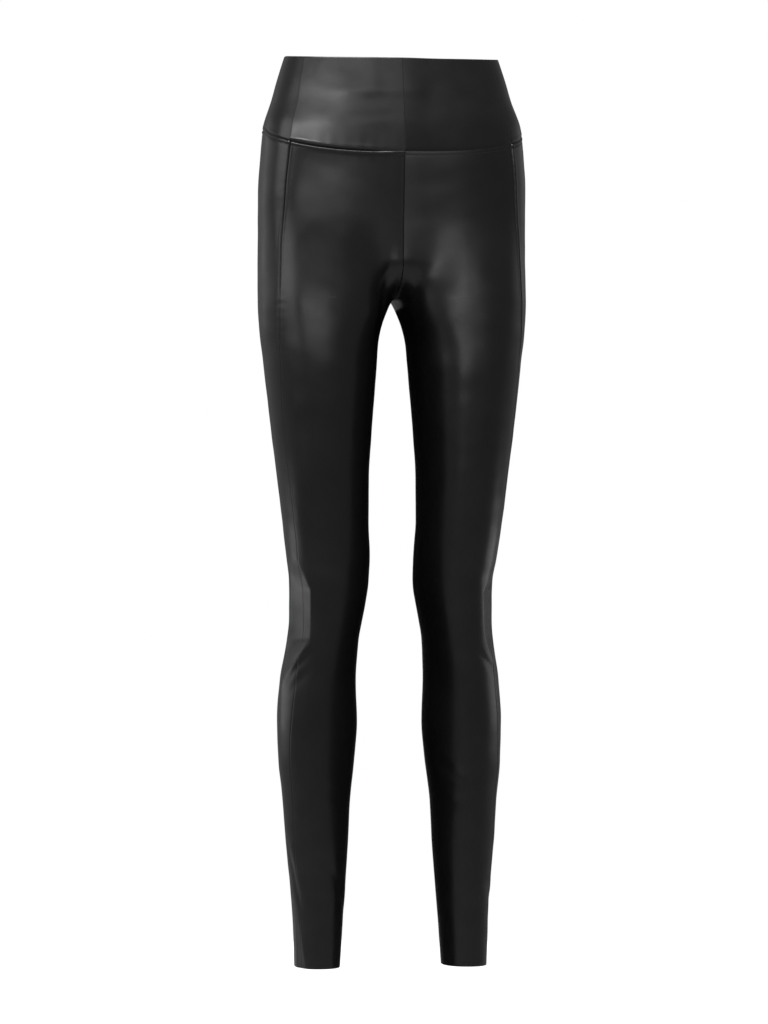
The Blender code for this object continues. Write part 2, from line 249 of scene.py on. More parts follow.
@dataclass
class LeggingsForm:
    """The garment's smooth outer surface, in millimetres."""

    length: float = 1015.0
    crotch_level: float = -272.0
    front_rise_curve: float = 44.0
    back_rise_curve: float = 92.0
    top_edge_slope: float = 0.092
    yoke_side: float = -81.5
    yoke_front_drop: float = 29.0
    yoke_front_power: float = 1.5
    yoke_back_drop: float = 11.0
    yoke_peak_rounding: float = 0.04
    hip_turns_to_thigh: float = -150.0
    near_centre: tuple[float, float] = (0.62, 1.0)
    arch_ends: tuple[float, float] = (20.0, 70.0)
    arch_widening: float = 7.5
    inner_power: float = 2.15
    even_below: float = 260.0
    quarter_samples: int = 400
    distance_samples: int = 181
    hips: Profile = field(init=False)
    leg: Profile = field(init=False)
    outseam: Profile = field(init=False)

    def __post_init__(self) -> None:
        """Read the three tables as smooth profiles."""
        self.hips = Profile(HIP_SECTIONS)
        self.leg = Profile(LEG_SECTIONS)
        self.outseam = Profile(OUTSEAM_PLACES)

    def _oval(self, table: Profile, z: float, end: End, middle: float,
              inner_powers: tuple[float, ...] = ()) -> Array:
        """Superellipse quarters of a section, from the side point on.

        Args:
            table: The sections of the hips or of the leg.
            z: The height.
            end: Round the front or round the back.
            middle: The x where one quarter ends and the next begins.
            inner_powers: The power of each quarter after the first.

        Returns:
            The curve, in rows of x and y.
        """
        reach = end.name.lower()
        side, side_y = table.at("side", z), table.at("side_y", z)
        depth = table.at(reach, z) - side_y
        turn = np.linspace(0.0, math.pi / 2.0, self.quarter_samples)
        quarters = []
        for i, power in enumerate((table.at(f"{reach}_power", z), *inner_powers)):
            angle = turn + i * math.pi / 2.0
            cosine, sine = np.cos(angle), np.abs(np.sin(angle))
            x = middle + (side - middle) * np.sign(cosine) * np.abs(cosine) ** (2.0 / power)
            y = side_y + depth * sine ** (2.0 / power)
            quarters.append(np.column_stack([x, y])[min(i, 1):])
        return np.concatenate(quarters)

    def hip_curve(self, z: float, end: End) -> Array:
        """Half a hip section, from the side point to the centre line."""
        return self._oval(self.hips, z, end, 0.0)

    def leg_curve(self, z: float, end: End) -> tuple[Array, float]:
        """Half a leg section, from the side point to the inseam.

        Under the crotch the legs part in a round arch; above it each oval is cut
        where it meets the centre plane.

        Args:
            z: The height.
            end: Round the front or round the back.

        Returns:
            The curve, and the length that it has before the cut.
        """
        under = self.crotch_level - z
        inner = self.leg.at("inner", z) * smoothstep(0.0, self.arch_ends[1], under)
        arch = self.arch_widening * under * (1.0 - smoothstep(*self.arch_ends, under))
        middle = (self.leg.at("side", z) + inner) / 2.0
        curve = self._oval(self.leg, z, end, middle, (self.inner_power,))
        whole_length = float(arc_lengths(curve)[-1])
        squares = curve[:, 0] ** 2 + arch
        if squares[-1] < 0.0:
            last = int(np.argmax(squares < 0.0))
            part = squares[last - 1] / (squares[last - 1] - squares[last])
            cut_y = curve[last - 1, 1] + part * (curve[last, 1] - curve[last - 1, 1])
            curve, squares = curve[:last + 1], squares[:last + 1]
            curve[-1, 1], squares[-1] = cut_y, 0.0
        return np.column_stack([np.sqrt(np.maximum(squares, 0.0)), curve[:, 1]]), whole_length

    def shared_length(self, z: float, end: End) -> float:
        """Length by which f is measured near the side point, alike on hip and leg.

        Args:
            z: The height.
            end: Round the front or round the back.

        Returns:
            The length in millimetres.
        """
        hip = float(arc_lengths(self.hip_curve(z, end))[-1])
        whole = self.leg_curve(z, end)[1]
        even = smoothstep(self.crotch_level, self.crotch_level - self.even_below, z)
        return hip + (whole - hip) * float(even)

    def _half_section(self, z: float, end: End, part: Array) -> Array:
        """Points of one end of a section, at shares of the way to the centre line.

        Args:
            z: The height.
            end: Round the front or round the back.
            part: Shares of the way from the side point.

        Returns:
            Rows of x and y.
        """
        hip_curve = self.hip_curve(z, end)
        lengths = arc_lengths(hip_curve)
        hip = walk(hip_curve, lengths, part * lengths[-1])
        if z > self.hip_turns_to_thigh:
            return hip
        thigh_curve, whole = self.leg_curve(z, end)
        lengths = arc_lengths(thigh_curve)
        shared = self.shared_length(z, end)
        # The third power wraps the leg's longer section inward, and the sixth takes
        # back what the centre plane cuts off its end
        s = shared * part + (whole - shared) * part**3 - (whole - lengths[-1]) * part**6
        thigh = walk(thigh_curve, lengths, s)
        rise_curve = self.front_rise_curve if end is End.FRONT else self.back_rise_curve
        at_centre = smoothstep(self.crotch_level + rise_curve, self.crotch_level, z)
        at_side = smoothstep(self.hip_turns_to_thigh, self.crotch_level, z)
        weight = at_side + (at_centre - at_side) * smoothstep(*self.near_centre, part)
        return hip + weight[:, None] * (thigh - hip)

    def section(self, z: float, places: Array) -> Array:
        """Points of the level section at a height.

        Args:
            z: The height.
            places: Places f around the half, each from -1 to 1.

        Returns:
            One row of x, y and z for each place.
        """
        points = np.full((len(places), 3), z)
        for end, chosen in ((End.FRONT, places < 0.0), (End.BACK, places >= 0.0)):
            if chosen.any():
                points[chosen, :2] = self._half_section(z, end, np.abs(places[chosen]))
        return points

    def outseam_f(self, z: float) -> float:
        """The outseam's place around the half."""
        return -self.outseam.at("forward", z) / self.shared_length(z, End.FRONT)

    def distance(self, z: float, start: float, finish: float) -> float:
        """Distance along the cloth between two places, negative when going forward."""
        places = np.linspace(start, finish, self.distance_samples)
        return float(math.copysign(arc_lengths(self.section(z, places))[-1], finish - start))

    def top_z(self, places: Array) -> Array:
        """Height of the waistband's top edge: level at the back, falling forward."""
        return self.top_edge_slope * np.minimum(self.section(0.0, places)[:, 1], 0.0)

    def yoke_z(self, places: Array) -> Array:
        """Height of the waistband's lower seam.

        Args:
            places: Places f around the half.

        Returns:
            The seam's height at each.
        """
        rounding = self.yoke_peak_rounding
        share = (np.hypot(places, rounding) - rounding) / (math.hypot(1.0, rounding) - rounding)
        share = np.where(places < 0.0, 1.0 - (1.0 - share) ** self.yoke_front_power, share)
        drop = np.where(places < 0.0, self.yoke_front_drop, self.yoke_back_drop)
        return self.yoke_side - drop * np.sin(share * math.pi / 2.0)


@dataclass
class SlopedHips:
    """The hip surface tabled by height, for rows that aren't level."""

    form: LeggingsForm
    top: float = 12.0
    bottom: float = -186.0
    step: float = 3.0
    places: int = 601
    table: Array = field(init=False)

    def __post_init__(self) -> None:
        """Work out the level sections of the table."""
        f = np.linspace(-1.0, 1.0, self.places)
        levels = np.arange(self.top, self.bottom, -self.step)
        self.table = np.stack([self.form.section(float(z), f) for z in levels])

    def points(self, z: Array, f: Array) -> Array:
        """Surface points for arrays of heights and places, smooth in both.

        Args:
            z: Heights.
            f: Places, an array of the same shape.

        Returns:
            Points, with x, y and z on a last axis of their own.
        """
        level = (self.top - z) / self.step
        i = np.floor(level).astype(int)
        t = (level - i)[..., None]
        place = (f + 1.0) / 2.0 * (self.places - 1)
        j = np.minimum(np.floor(place).astype(int), self.places - 2)
        u = (place - j)[..., None]
        # Catmull-Rom shares of the four levels about each height
        weights = (t * (-1 + t * (2 - t)) / 2, (2 + t * t * (3 * t - 5)) / 2,
                   t * (1 + t * (4 - 3 * t)) / 2, t * t * (t - 1) / 2)
        points = np.zeros((*z.shape, 3))
        for k, weight in enumerate(weights):
            row = i + k - 1
            points += weight * ((1 - u) * self.table[row, j] + u * self.table[row, j + 1])
        points[..., 2] = z
        return points


# ------------------------------------------------------------------- relief of the cloth


@dataclass
class Cloth:
    """A panel's grid of outer points with what its relief is measured by."""

    end: End
    band: bool
    points: Array
    z: Array
    f: Array
    to_centre: Array
    to_outseam: Array
    from_yoke: Array
    to_edge: Array
    normals: Array = field(init=False)

    def __post_init__(self) -> None:
        """Work out the outward unit normals from the grid's own directions."""
        down = np.gradient(self.points, axis=0)
        around = np.gradient(self.points, axis=1)
        across = np.cross(down, around)
        self.normals = across / np.linalg.norm(across, axis=-1, keepdims=True)

    @property
    def around(self) -> Array:
        """Distance round the half from the outseam, negative in front of it."""
        return self.to_outseam if self.end is End.BACK else -self.to_outseam


@dataclass(frozen=True)
class Fold:
    """A fold on one side of the garment, given by the place of its middle."""

    side: Side
    z: float
    f: float
    length: float
    centre_from: ClassVar[float] = 0.9
    far: ClassVar[float] = 1.0e4
    fade_power: ClassVar[int] = 4
    tail: ClassVar[float] = 3.0

    def offsets(self, form: LeggingsForm, cloth: Cloth) -> tuple[Array, Array]:
        """Distances up and round the leg from the fold's middle.

        Args:
            form: The garment's form.
            cloth: The panel's grid.

        Returns:
            Two arrays in millimetres. A fold by a centre seam is measured from that
            seam, and any other from the outseam.
        """
        up = cloth.z - self.z
        if abs(self.f) <= self.centre_from:
            return up, cloth.around - form.distance(self.z, form.outseam_f(self.z), self.f)
        if (self.f > 0.0) != (cloth.end is End.BACK):
            return up, np.full_like(up, self.far)
        line = math.copysign(1.0, self.f)
        return up, -line * cloth.to_centre - form.distance(self.z, line, self.f)

    def fade(self, along: Array) -> Array:
        """How the fold dies away toward its two ends."""
        share = np.minimum(np.abs(2.0 * along / self.length), self.tail)
        return np.exp(-share ** self.fade_power)

    def height(self, form: LeggingsForm, cloth: Cloth) -> Array:
        """How far the cloth stands proud of its form because of this fold."""
        raise NotImplementedError


@dataclass(frozen=True)
class Crease(Fold):
    """A soft trough where depth is positive, or a ridge where it is negative.

    A tilt of 0 runs round the leg, 90 along it, and below 0 down toward the back.
    """

    width: float
    depth: float
    tilt: float
    lip: float = 0.35
    lip_away: ClassVar[float] = 1.9
    lip_spread: ClassVar[float] = 1.3

    def height(self, form: LeggingsForm, cloth: Cloth) -> Array:
        """How far the cloth stands proud of its form because of this crease.

        Args:
            form: The garment's form.
            cloth: The panel's grid.

        Returns:
            Heights in millimetres.
        """
        up, round_leg = self.offsets(form, cloth)
        angle = math.radians(self.tilt)
        along = round_leg * math.cos(angle) + up * math.sin(angle)
        across = up * math.cos(angle) - round_leg * math.sin(angle)
        trough = np.exp(-((across / self.width) ** 2))
        away = across - self.lip_away * self.width
        lip = np.exp(-((away / (self.lip_spread * self.width)) ** 2))
        return self.depth * self.fade(along) * (self.lip * lip - trough)


@dataclass(frozen=True)
class Lap(Fold):
    """Cloth that sags over a level crease: a crest that eases off above and below."""

    rise: float
    above: float
    below: float
    rounding: float = 1.6

    def height(self, form: LeggingsForm, cloth: Cloth) -> Array:
        """How far the cloth stands proud of its form because of this lap.

        Args:
            form: The garment's form.
            cloth: The panel's grid.

        Returns:
            Heights in millimetres.
        """
        up, round_leg = self.offsets(form, cloth)
        away = np.hypot(up, self.rounding) - self.rounding
        crest = np.exp(-away / np.where(up > 0.0, self.above, self.below))
        return self.rise * self.fade(round_leg) * crest


class Corner(NamedTuple):
    """A facet's two edges at one height."""

    z: float
    front: float
    back: float


@dataclass(frozen=True)
class Facet:
    """A patch that hangs flat between two edges, where the form under it is round."""

    side: Side
    corners: tuple[Corner, ...]
    radius: float
    lift: float = 0.0
    edge: float = 0.12
    margin: float = 14.0
    lift_spread: float = 1.1

    def height(self, form: LeggingsForm, cloth: Cloth) -> Array:
        """How far the cloth departs from its form because it hangs flat.

        Args:
            form: The garment's form.
            cloth: The panel's grid.

        Returns:
            Heights in millimetres.
        """
        levels, *edges = zip(*sorted(self.corners))
        front, back = ([form.distance(z, form.outseam_f(z), f) for z, f in zip(levels, edge)]
                       for edge in edges)
        past_front = cloth.around - np.interp(cloth.z, levels, front)
        short_of_back = np.interp(cloth.z, levels, back) - cloth.around
        sag = past_front * short_of_back / (2.0 * self.radius)
        soft = 0.5 * (sag + np.sqrt(sag**2 + self.edge**2))
        shown = smoothstep(levels[0] - self.margin, levels[0] + self.margin, cloth.z)
        shown = shown * smoothstep(levels[-1] + self.margin, levels[-1] - self.margin, cloth.z)
        middle = 0.5 * (past_front - short_of_back)
        half = 0.5 * (past_front + short_of_back)
        bulge = self.lift * np.exp(-((middle / (self.lift_spread * half)) ** 2))
        return shown * (bulge - soft)


RIGHT, LEFT = Side.RIGHT, Side.LEFT
# Laps give side, z, f, length, rise, above and below; creases give side, z, f, length,
# width, depth, tilt and lip
FOLDS: tuple[Fold | Facet, ...] = (
    # Waistband: the cloth sags over a level crease in front, and is slack at the back
    Lap(RIGHT, -43.5, -0.82, 92.0, 2.0, 20.0, 16.0),
    Lap(LEFT, -43.5, -0.99, 40.0, 0.9, 20.0, 16.0),
    Crease(RIGHT, -72.0, -0.80, 70.0, 6.0, 0.25, -4.0, 0.7),
    Crease(RIGHT, -24.0, -0.79, 54.0, 11.0, -0.50, 88.0, 0.0),
    Crease(RIGHT, -40.0, 0.55, 90.0, 8.0, 0.8, 5.0, 0.6),
    Crease(LEFT, -62.0, 0.62, 80.0, 8.0, 0.9, -6.0, 0.6),
    # The centre front stands out a little
    Crease(RIGHT, -40.0, -1.0, 190.0, 24.0, -1.2, 90.0, 0.0),
    Crease(LEFT, -40.0, -1.0, 190.0, 24.0, -1.2, 90.0, 0.0),
    # Filled cloth between the rise seam and the thighs
    Crease(RIGHT, -226.0, -0.85, 70.0, 13.0, -0.5, 90.0, 0.0),
    Crease(LEFT, -226.0, -0.85, 70.0, 13.0, -0.5, 90.0, 0.0),
    # Inner thighs
    Crease(RIGHT, -284.0, -0.82, 104.0, 4.5, 1.2, 88.0, 0.5),
    Crease(LEFT, -296.0, -0.84, 80.0, 6.0, 0.5, 84.0, 0.5),
    # Outer side of the knees, hanging flat, and the folds under them
    Facet(RIGHT, (
        Corner(-556.0, -0.17, -0.03), Corner(-594.0, -0.31, -0.03),
        Corner(-650.0, -0.335, -0.02), Corner(-681.0, -0.19, -0.01),
        Corner(-708.0, -0.08, -0.02)), 46.0, 1.8),
    Crease(RIGHT, -677.0, -0.26, 50.0, 4.0, 0.8, -48.0, 0.6),
    Crease(RIGHT, -696.0, -0.27, 34.0, 5.0, 0.6, -42.0, 0.6),
    Facet(LEFT, (
        Corner(-584.0, -0.27, -0.20), Corner(-596.0, -0.335, -0.12),
        Corner(-648.0, -0.325, -0.12), Corner(-670.0, -0.24, -0.16)), 46.0),
    Crease(LEFT, -675.0, -0.33, 34.0, 4.5, 1.0, -42.0, 0.5),
    Crease(LEFT, -795.0, -0.68, 42.0, 6.0, 1.1, -28.0, 0.5),
    Crease(LEFT, -830.0, -0.70, 30.0, 6.0, 0.5, -5.0, 0.5),
    # Ankles, where the slack above the hem gathers
    Crease(RIGHT, -914.0, -0.14, 70.0, 5.0, 0.9, 76.0, 0.5),
    Facet(RIGHT, (Corner(-950.0, -0.16, -0.10), Corner(-1020.0, -0.31, -0.06)), 34.0, 0.3),
    Crease(RIGHT, -930.0, -0.73, 60.0, 6.0, 0.9, 61.0, 0.5),
    Crease(LEFT, -934.0, -0.22, 30.0, 6.0, 0.9, -39.0, 0.5),
    Crease(RIGHT, -926.0, 0.52, 50.0, 9.0, 1.4, 14.0, 0.5),
    Crease(LEFT, -918.0, 0.46, 54.0, 9.0, 1.3, -12.0, 0.5),
    # Hollows of the knees
    Crease(RIGHT, -600.0, 0.55, 84.0, 8.0, 2.6, 9.0, 0.5),
    Crease(RIGHT, -632.0, 0.62, 60.0, 7.0, 2.0, -12.0, 0.5),
    Crease(RIGHT, -655.0, 0.48, 46.0, 6.0, 1.0, 6.0, 0.5),
    Crease(LEFT, -606.0, 0.58, 78.0, 8.0, 2.6, -7.0, 0.5),
    Crease(LEFT, -640.0, 0.50, 66.0, 7.0, 1.9, 11.0, 0.5),
    Crease(LEFT, -574.0, 0.62, 50.0, 7.0, 1.3, -14.0, 0.5),
    # Under the seat
    Crease(RIGHT, -292.0, 0.55, 76.0, 11.0, 2.0, -14.0, 0.4),
    Crease(LEFT, -296.0, 0.58, 70.0, 11.0, 1.8, 12.0, 0.4),
)


@dataclass(frozen=True)
class SeamRelief:
    """Height of the cloth beside a seam: a ditch, then the roll of the allowance."""

    ditch_depth: float = 0.9
    ditch_width: float = 0.8
    roll_height: float = 0.3
    roll_at: float = 2.1
    roll_width: float = 1.5
    pucker_height: float = 0.07
    pucker_pitch: float = 11.0
    pucker_reach: float = 9.0
    pucker_wander: float = 1.7
    wander_pitch: float = 23.0

    def height(self, distance: Array, along: Array) -> Array:
        """Height of the cloth.

        Args:
            distance: Distance from the seam.
            along: Distance along it, for the slight puckers of the sewing.

        Returns:
            Heights in millimetres.
        """
        ditch = self.ditch_depth * np.exp(-((distance / self.ditch_width) ** 2))
        roll = self.roll_height * np.exp(-(((distance - self.roll_at) / self.roll_width) ** 2))
        wander = self.pucker_wander * np.sin(along / self.wander_pitch)
        wave = np.sin(along * 2.0 * math.pi / self.pucker_pitch + wander)
        pucker = self.pucker_height * wave * np.exp(-((distance / self.pucker_reach) ** 2))
        return roll + pucker - ditch


class Wave(NamedTuple):
    """A long, faint wave of the cloth: its share, its lengths and its phase."""

    share: float
    down: float
    round_leg: float
    phase: float


@dataclass
class ClothRelief:
    """All that the cloth adds to the smooth form, in millimetres."""

    form: LeggingsForm
    outseam: SeamRelief = SeamRelief()
    centre: SeamRelief = SeamRelief(0.45, 0.5, 0.06, 1.8, 1.3, 0.03)
    yoke_above: SeamRelief = SeamRelief(1.1, 1.2, 0.35, 3.2, 2.4, 0.10, 13.0, 12.0)
    yoke_below: SeamRelief = SeamRelief(1.1, 0.8, 0.75, 2.0, 1.1, 0.08, 13.0, 10.0)
    topstitch_from_seam: float = 4.2
    topstitch_groove: float = 0.5
    topstitch_width: float = 0.95
    # How plainly each seam shows, and the places f or heights between which that eases
    yoke_on_back: float = 0.7
    yoke_centre_loss: float = 0.75
    yoke_loss_places: tuple[float, float] = (-0.76, -0.99)
    yoke_on_left: float = 0.08
    yoke_centre_gain: float = 0.12
    yoke_centre_places: tuple[float, float] = (-0.94, -1.0)
    yoke_side_gain: float = 0.4
    yoke_side_places: tuple[float, float] = (-0.45, -0.15)
    outseam_on_hips: float = 1.1
    outseam_on_left: float = 0.4
    outseam_on_right: float = 0.12
    outseam_on_band: float = 0.04
    outseam_heights: tuple[float, float] = (-345.0, -290.0)
    rise_on_legs: float = 1.0
    rise_on_band: float = 0.15
    inseam_opened: float = 1.6
    inseam_heights: tuple[float, float] = (-272.0, -330.0)
    # How far the waistband swells over the yoke seam
    yoke_swell: float = 2.5
    swell_elsewhere: float = 0.1
    swell_grows: tuple[float, float] = (-0.22, -0.42)
    swell_fades: tuple[float, float] = (-0.50, -1.05)
    swell_reach: float = 12.0
    swell_turn: float = 3.4
    slack: float = 0.15
    waves: tuple[Wave, ...] = (
        Wave(0.50, 61.0, 74.0, 0.4), Wave(0.42, 97.0, -47.0, 1.9),
        Wave(0.30, 37.0, 30.0, 3.1), Wave(0.22, 26.0, -21.0, 4.4))
    side_phase: float = 1.3
    own_side_from: float = 34.0

    def _folds(self, cloth: Cloth, side: Side) -> Array:
        """Summed height of the listed folds of one side."""
        return sum(fold.height(self.form, cloth) for fold in FOLDS if fold.side is side)

    def _drift(self, cloth: Cloth, side: Side) -> Array:
        """The cloth's broad, faint unevenness, a fixed sum of long waves.

        Args:
            cloth: The panel's grid.
            side: The wearer's side, which moves the waves on.

        Returns:
            Heights in millimetres.
        """
        total = np.zeros_like(cloth.z)
        for wave in self.waves:
            turn = 2.0 * math.pi * cloth.z / wave.down + cloth.around / wave.round_leg * 2.0
            total += wave.share * np.sin(turn + wave.phase + self.side_phase * side.value)
        return self.slack * total

    def _yoke_strength(self, cloth: Cloth, side: Side) -> Array:
        """How plainly the yoke seam shows: most on the wearer's right front.

        Args:
            cloth: The panel's grid.
            side: The wearer's side.

        Returns:
            The share of the seam's relief at each point.
        """
        f = cloth.f
        if cloth.end is End.BACK:
            return np.full_like(f, self.yoke_on_back)
        if side is Side.RIGHT:
            return 1.0 - self.yoke_centre_loss * smoothstep(*self.yoke_loss_places, f)
        return (self.yoke_on_left
                + self.yoke_centre_gain * smoothstep(*self.yoke_centre_places, f)
                + self.yoke_side_gain * smoothstep(*self.yoke_side_places, f))

    def _yoke_overhang(self, cloth: Cloth, side: Side) -> Array:
        """How far the waistband's cloth swells out over the yoke seam.

        Args:
            cloth: The panel's grid.
            side: The wearer's side: it swells on the right front alone.

        Returns:
            Heights in millimetres.
        """
        share = self.swell_elsewhere
        if cloth.end is End.FRONT and side is Side.RIGHT:
            grown = (1.0 - share) * smoothstep(*self.swell_grows, cloth.f)
            share = share + grown * (1.0 - smoothstep(*self.swell_fades, cloth.f))
        turn = 1.0 - np.exp(-((cloth.from_yoke / self.swell_turn) ** 2))
        return self.yoke_swell * share * turn * np.exp(-cloth.from_yoke / self.swell_reach)

    def _outseam_strength(self, cloth: Cloth, side: Side) -> Any:
        """How plainly the outseam shows: most on the hips, and least on the right leg.

        Args:
            cloth: The panel's grid.
            side: The wearer's side.

        Returns:
            The share of the seam's relief, one for all points or one for each.
        """
        if cloth.band:
            return self.outseam_on_band
        low = self.outseam_on_left if side is Side.LEFT else self.outseam_on_right
        return low + (self.outseam_on_hips - low) * smoothstep(*self.outseam_heights, cloth.z)

    def height(self, cloth: Cloth, side: Side) -> Array:
        """Height of a panel's cloth over its form.

        The two sides' own unevenness meets halfway at the centre seams.

        Args:
            cloth: The panel's grid.
            side: The wearer's side.

        Returns:
            Heights in millimetres.
        """
        own, other = (self._folds(cloth, of) + self._drift(cloth, of)
                      for of in (side, Side(-side.value)))
        weight = 0.5 + 0.5 * smoothstep(0.0, self.own_side_from, cloth.to_centre)
        height = own * weight + other * (1.0 - weight)
        strength = self._outseam_strength(cloth, side)
        height += strength * self.outseam.height(cloth.to_outseam, cloth.z)
        if not (cloth.band and cloth.end is End.BACK):
            # The rise seam is pressed to one side, the inseam lies open
            rise = self.rise_on_band if cloth.band else self.rise_on_legs
            rise = rise if side is Side.RIGHT else 0.0
            opened = smoothstep(*self.inseam_heights, cloth.z)
            strength = rise + (self.inseam_opened - rise) * opened
            height += strength * self.centre.height(cloth.to_centre, cloth.z)
        yoke = self.yoke_above if cloth.band else self.yoke_below
        strength = self._yoke_strength(cloth, side)
        height += strength * yoke.height(cloth.from_yoke, cloth.around)
        if cloth.band:
            height += self._yoke_overhang(cloth, side)
        else:
            off = (cloth.from_yoke - self.topstitch_from_seam) / self.topstitch_width
            height -= strength * self.topstitch_groove * np.exp(-(off**2))
        return height


# ------------------------------------------------------------------------------- panels


@dataclass
class PanelCutter:
    """Lays the grids of the panels on the form, close-spaced beside every seam."""

    form: LeggingsForm
    seam_steps: tuple[float, ...] = (
        0.01, 0.35, 0.7, 1.1, 1.6, 2.2, 2.8, 3.4, 3.8, 4.2, 4.7, 5.3, 6.2, 7.8, 10.0)
    edge_steps: tuple[float, ...] = (0.0, 0.08, 0.25, 0.5, 0.8, 1.15, 1.8, 2.8, 4.5, 7.0, 10.0)
    columns_between: int = 54
    band_rows_between: int = 28
    hip_rows_between: int = 22
    level_row: float = -165.0
    row_step: float = 3.0
    rise_rows: int = 9
    rise_rows_start: float = 12.0
    arch_rows: int = 14
    arch_rows_end: float = 21.0
    outseam_near: float = -0.3
    yoke_reach: float = 200.0
    dense: int = 361
    sloped: SlopedHips = field(init=False)

    def __post_init__(self) -> None:
        """Table the hips for the sloped rows."""
        self.sloped = SlopedHips(self.form)

    def _columns(self, z: float, start: float, end: float, joined: bool) -> tuple[Array, Array]:
        """Places across a panel at one height, and how far each is from its start.

        Args:
            z: The height.
            start: The place of the panel's edge toward the front.
            end: The place of its edge toward the back.
            joined: Whether the cloth goes on past that edge, with no seam there.

        Returns:
            Places f and distances in millimetres.
        """
        places = np.linspace(start, end, self.dense)
        lengths = arc_lengths(self.form.section(z, places))
        width, near = lengths[-1], np.array(self.seam_steps)
        last = 0.0 if joined else near[-1]
        middle = np.linspace(near[-1], width - last, self.columns_between + 2)
        tail = middle[-1:] if joined else width - near[::-1]
        distance = np.concatenate([near, middle[1:-1], tail])
        return np.interp(distance, lengths, places), distance

    def _cloth(self, heights: Sequence[Any], end: End, band: bool) -> Cloth:
        """Lay a front or back panel's grid.

        Args:
            heights: A function of f for each sloped row, or a number for a level one.
            end: The front or the back panel.
            band: Whether it is part of the waistband.

        Returns:
            The panel's grid.
        """
        rows: list[tuple[Array, ...]] = []
        for height in heights:
            level = not callable(height)
            reference = height if level else float(height(np.array([self.outseam_near]))[0])
            seam = self.form.outseam_f(reference)
            edges = (-1.0, seam) if end is End.FRONT else (seam, 1.0)
            f, start = self._columns(reference, *edges, joined=band and end is End.BACK)
            z = np.full_like(f, height) if level else height(f)
            points = self.form.section(height, f) if level else self.sloped.points(z, f)
            finish = start[-1] - start + (0.0 if band and end is End.BACK else start[0])
            to_yoke = np.abs(z - self.form.yoke_z(f)) if -reference < self.yoke_reach else -z
            to_edge = self.form.top_z(f) - z if band else z + self.form.length
            rows.append((points, z, f, start, finish, to_yoke, to_edge))
        points, z, f, start, finish, to_yoke, to_edge = (np.array(of) for of in zip(*rows))
        centre, outseam = (start, finish) if end is End.FRONT else (finish, start)
        return Cloth(end, band, points, z, f, centre, outseam, to_yoke, to_edge)

    def band(self, end: End) -> Cloth:
        """The waistband from its top edge to the yoke seam, on one side.

        Args:
            end: Its front or its back.

        Returns:
            The panel's grid.
        """
        top, yoke = self.form.top_z, self.form.yoke_z
        upper, lower = self.edge_steps, self.seam_steps[::-1]
        rows = [lambda f, d=d: top(f) - d for d in upper]
        for i in range(1, self.band_rows_between + 1):
            t = i / (self.band_rows_between + 1)
            rows.append(lambda f, t=t: (top(f) - upper[-1]) * (1 - t) + (yoke(f) + lower[0]) * t)
        rows += [lambda f, d=d: yoke(f) + d for d in lower]
        return self._cloth(rows, end, True)

    def leg(self, end: End) -> Cloth:
        """A leg's front or back panel, from the yoke seam to the hem.

        Args:
            end: Its front or its back.

        Returns:
            The panel's grid.
        """
        yoke, near = self.form.yoke_z, self.seam_steps
        rows: list[Any] = [lambda f, d=d: yoke(f) - d for d in near]
        for i in range(1, self.hip_rows_between + 1):
            t = i / (self.hip_rows_between + 1)
            rows.append(lambda f, t=t: (yoke(f) - near[-1]) * (1 - t) + self.level_row * t)
        crotch = self.form.crotch_level
        start = crotch + self.rise_rows_start
        rows += np.arange(self.level_row, start + 1.0, -self.row_step).tolist()
        # Over the crotch the seam turns level as a fourth power of the height, and under
        # it the inseams part as a square: rows spaced likewise keep the cloth even
        rows += [crotch + self.rise_rows_start * (i / self.rise_rows) ** 4
                 for i in range(self.rise_rows, 0, -1)]
        rows += [crotch - self.arch_rows_end * (i / self.arch_rows) ** 2
                 for i in range(self.arch_rows + 1)]
        hem = -self.form.length
        start = crotch - self.arch_rows_end - self.row_step
        rows += np.arange(start, hem + self.edge_steps[-1] + 1.0, -self.row_step).tolist()
        rows += [hem + d for d in self.edge_steps[::-1]]
        return self._cloth(rows, end, False)


def put(data: bpy.types.ID) -> bpy.types.Object:
    """Put a mesh, a light or a camera in the scene, under its own name.

    Args:
        data: What the object shows.

    Returns:
        The object.
    """
    thing = bpy.data.objects.new(data.name, data)
    bpy.context.scene.collection.objects.link(thing)
    return thing


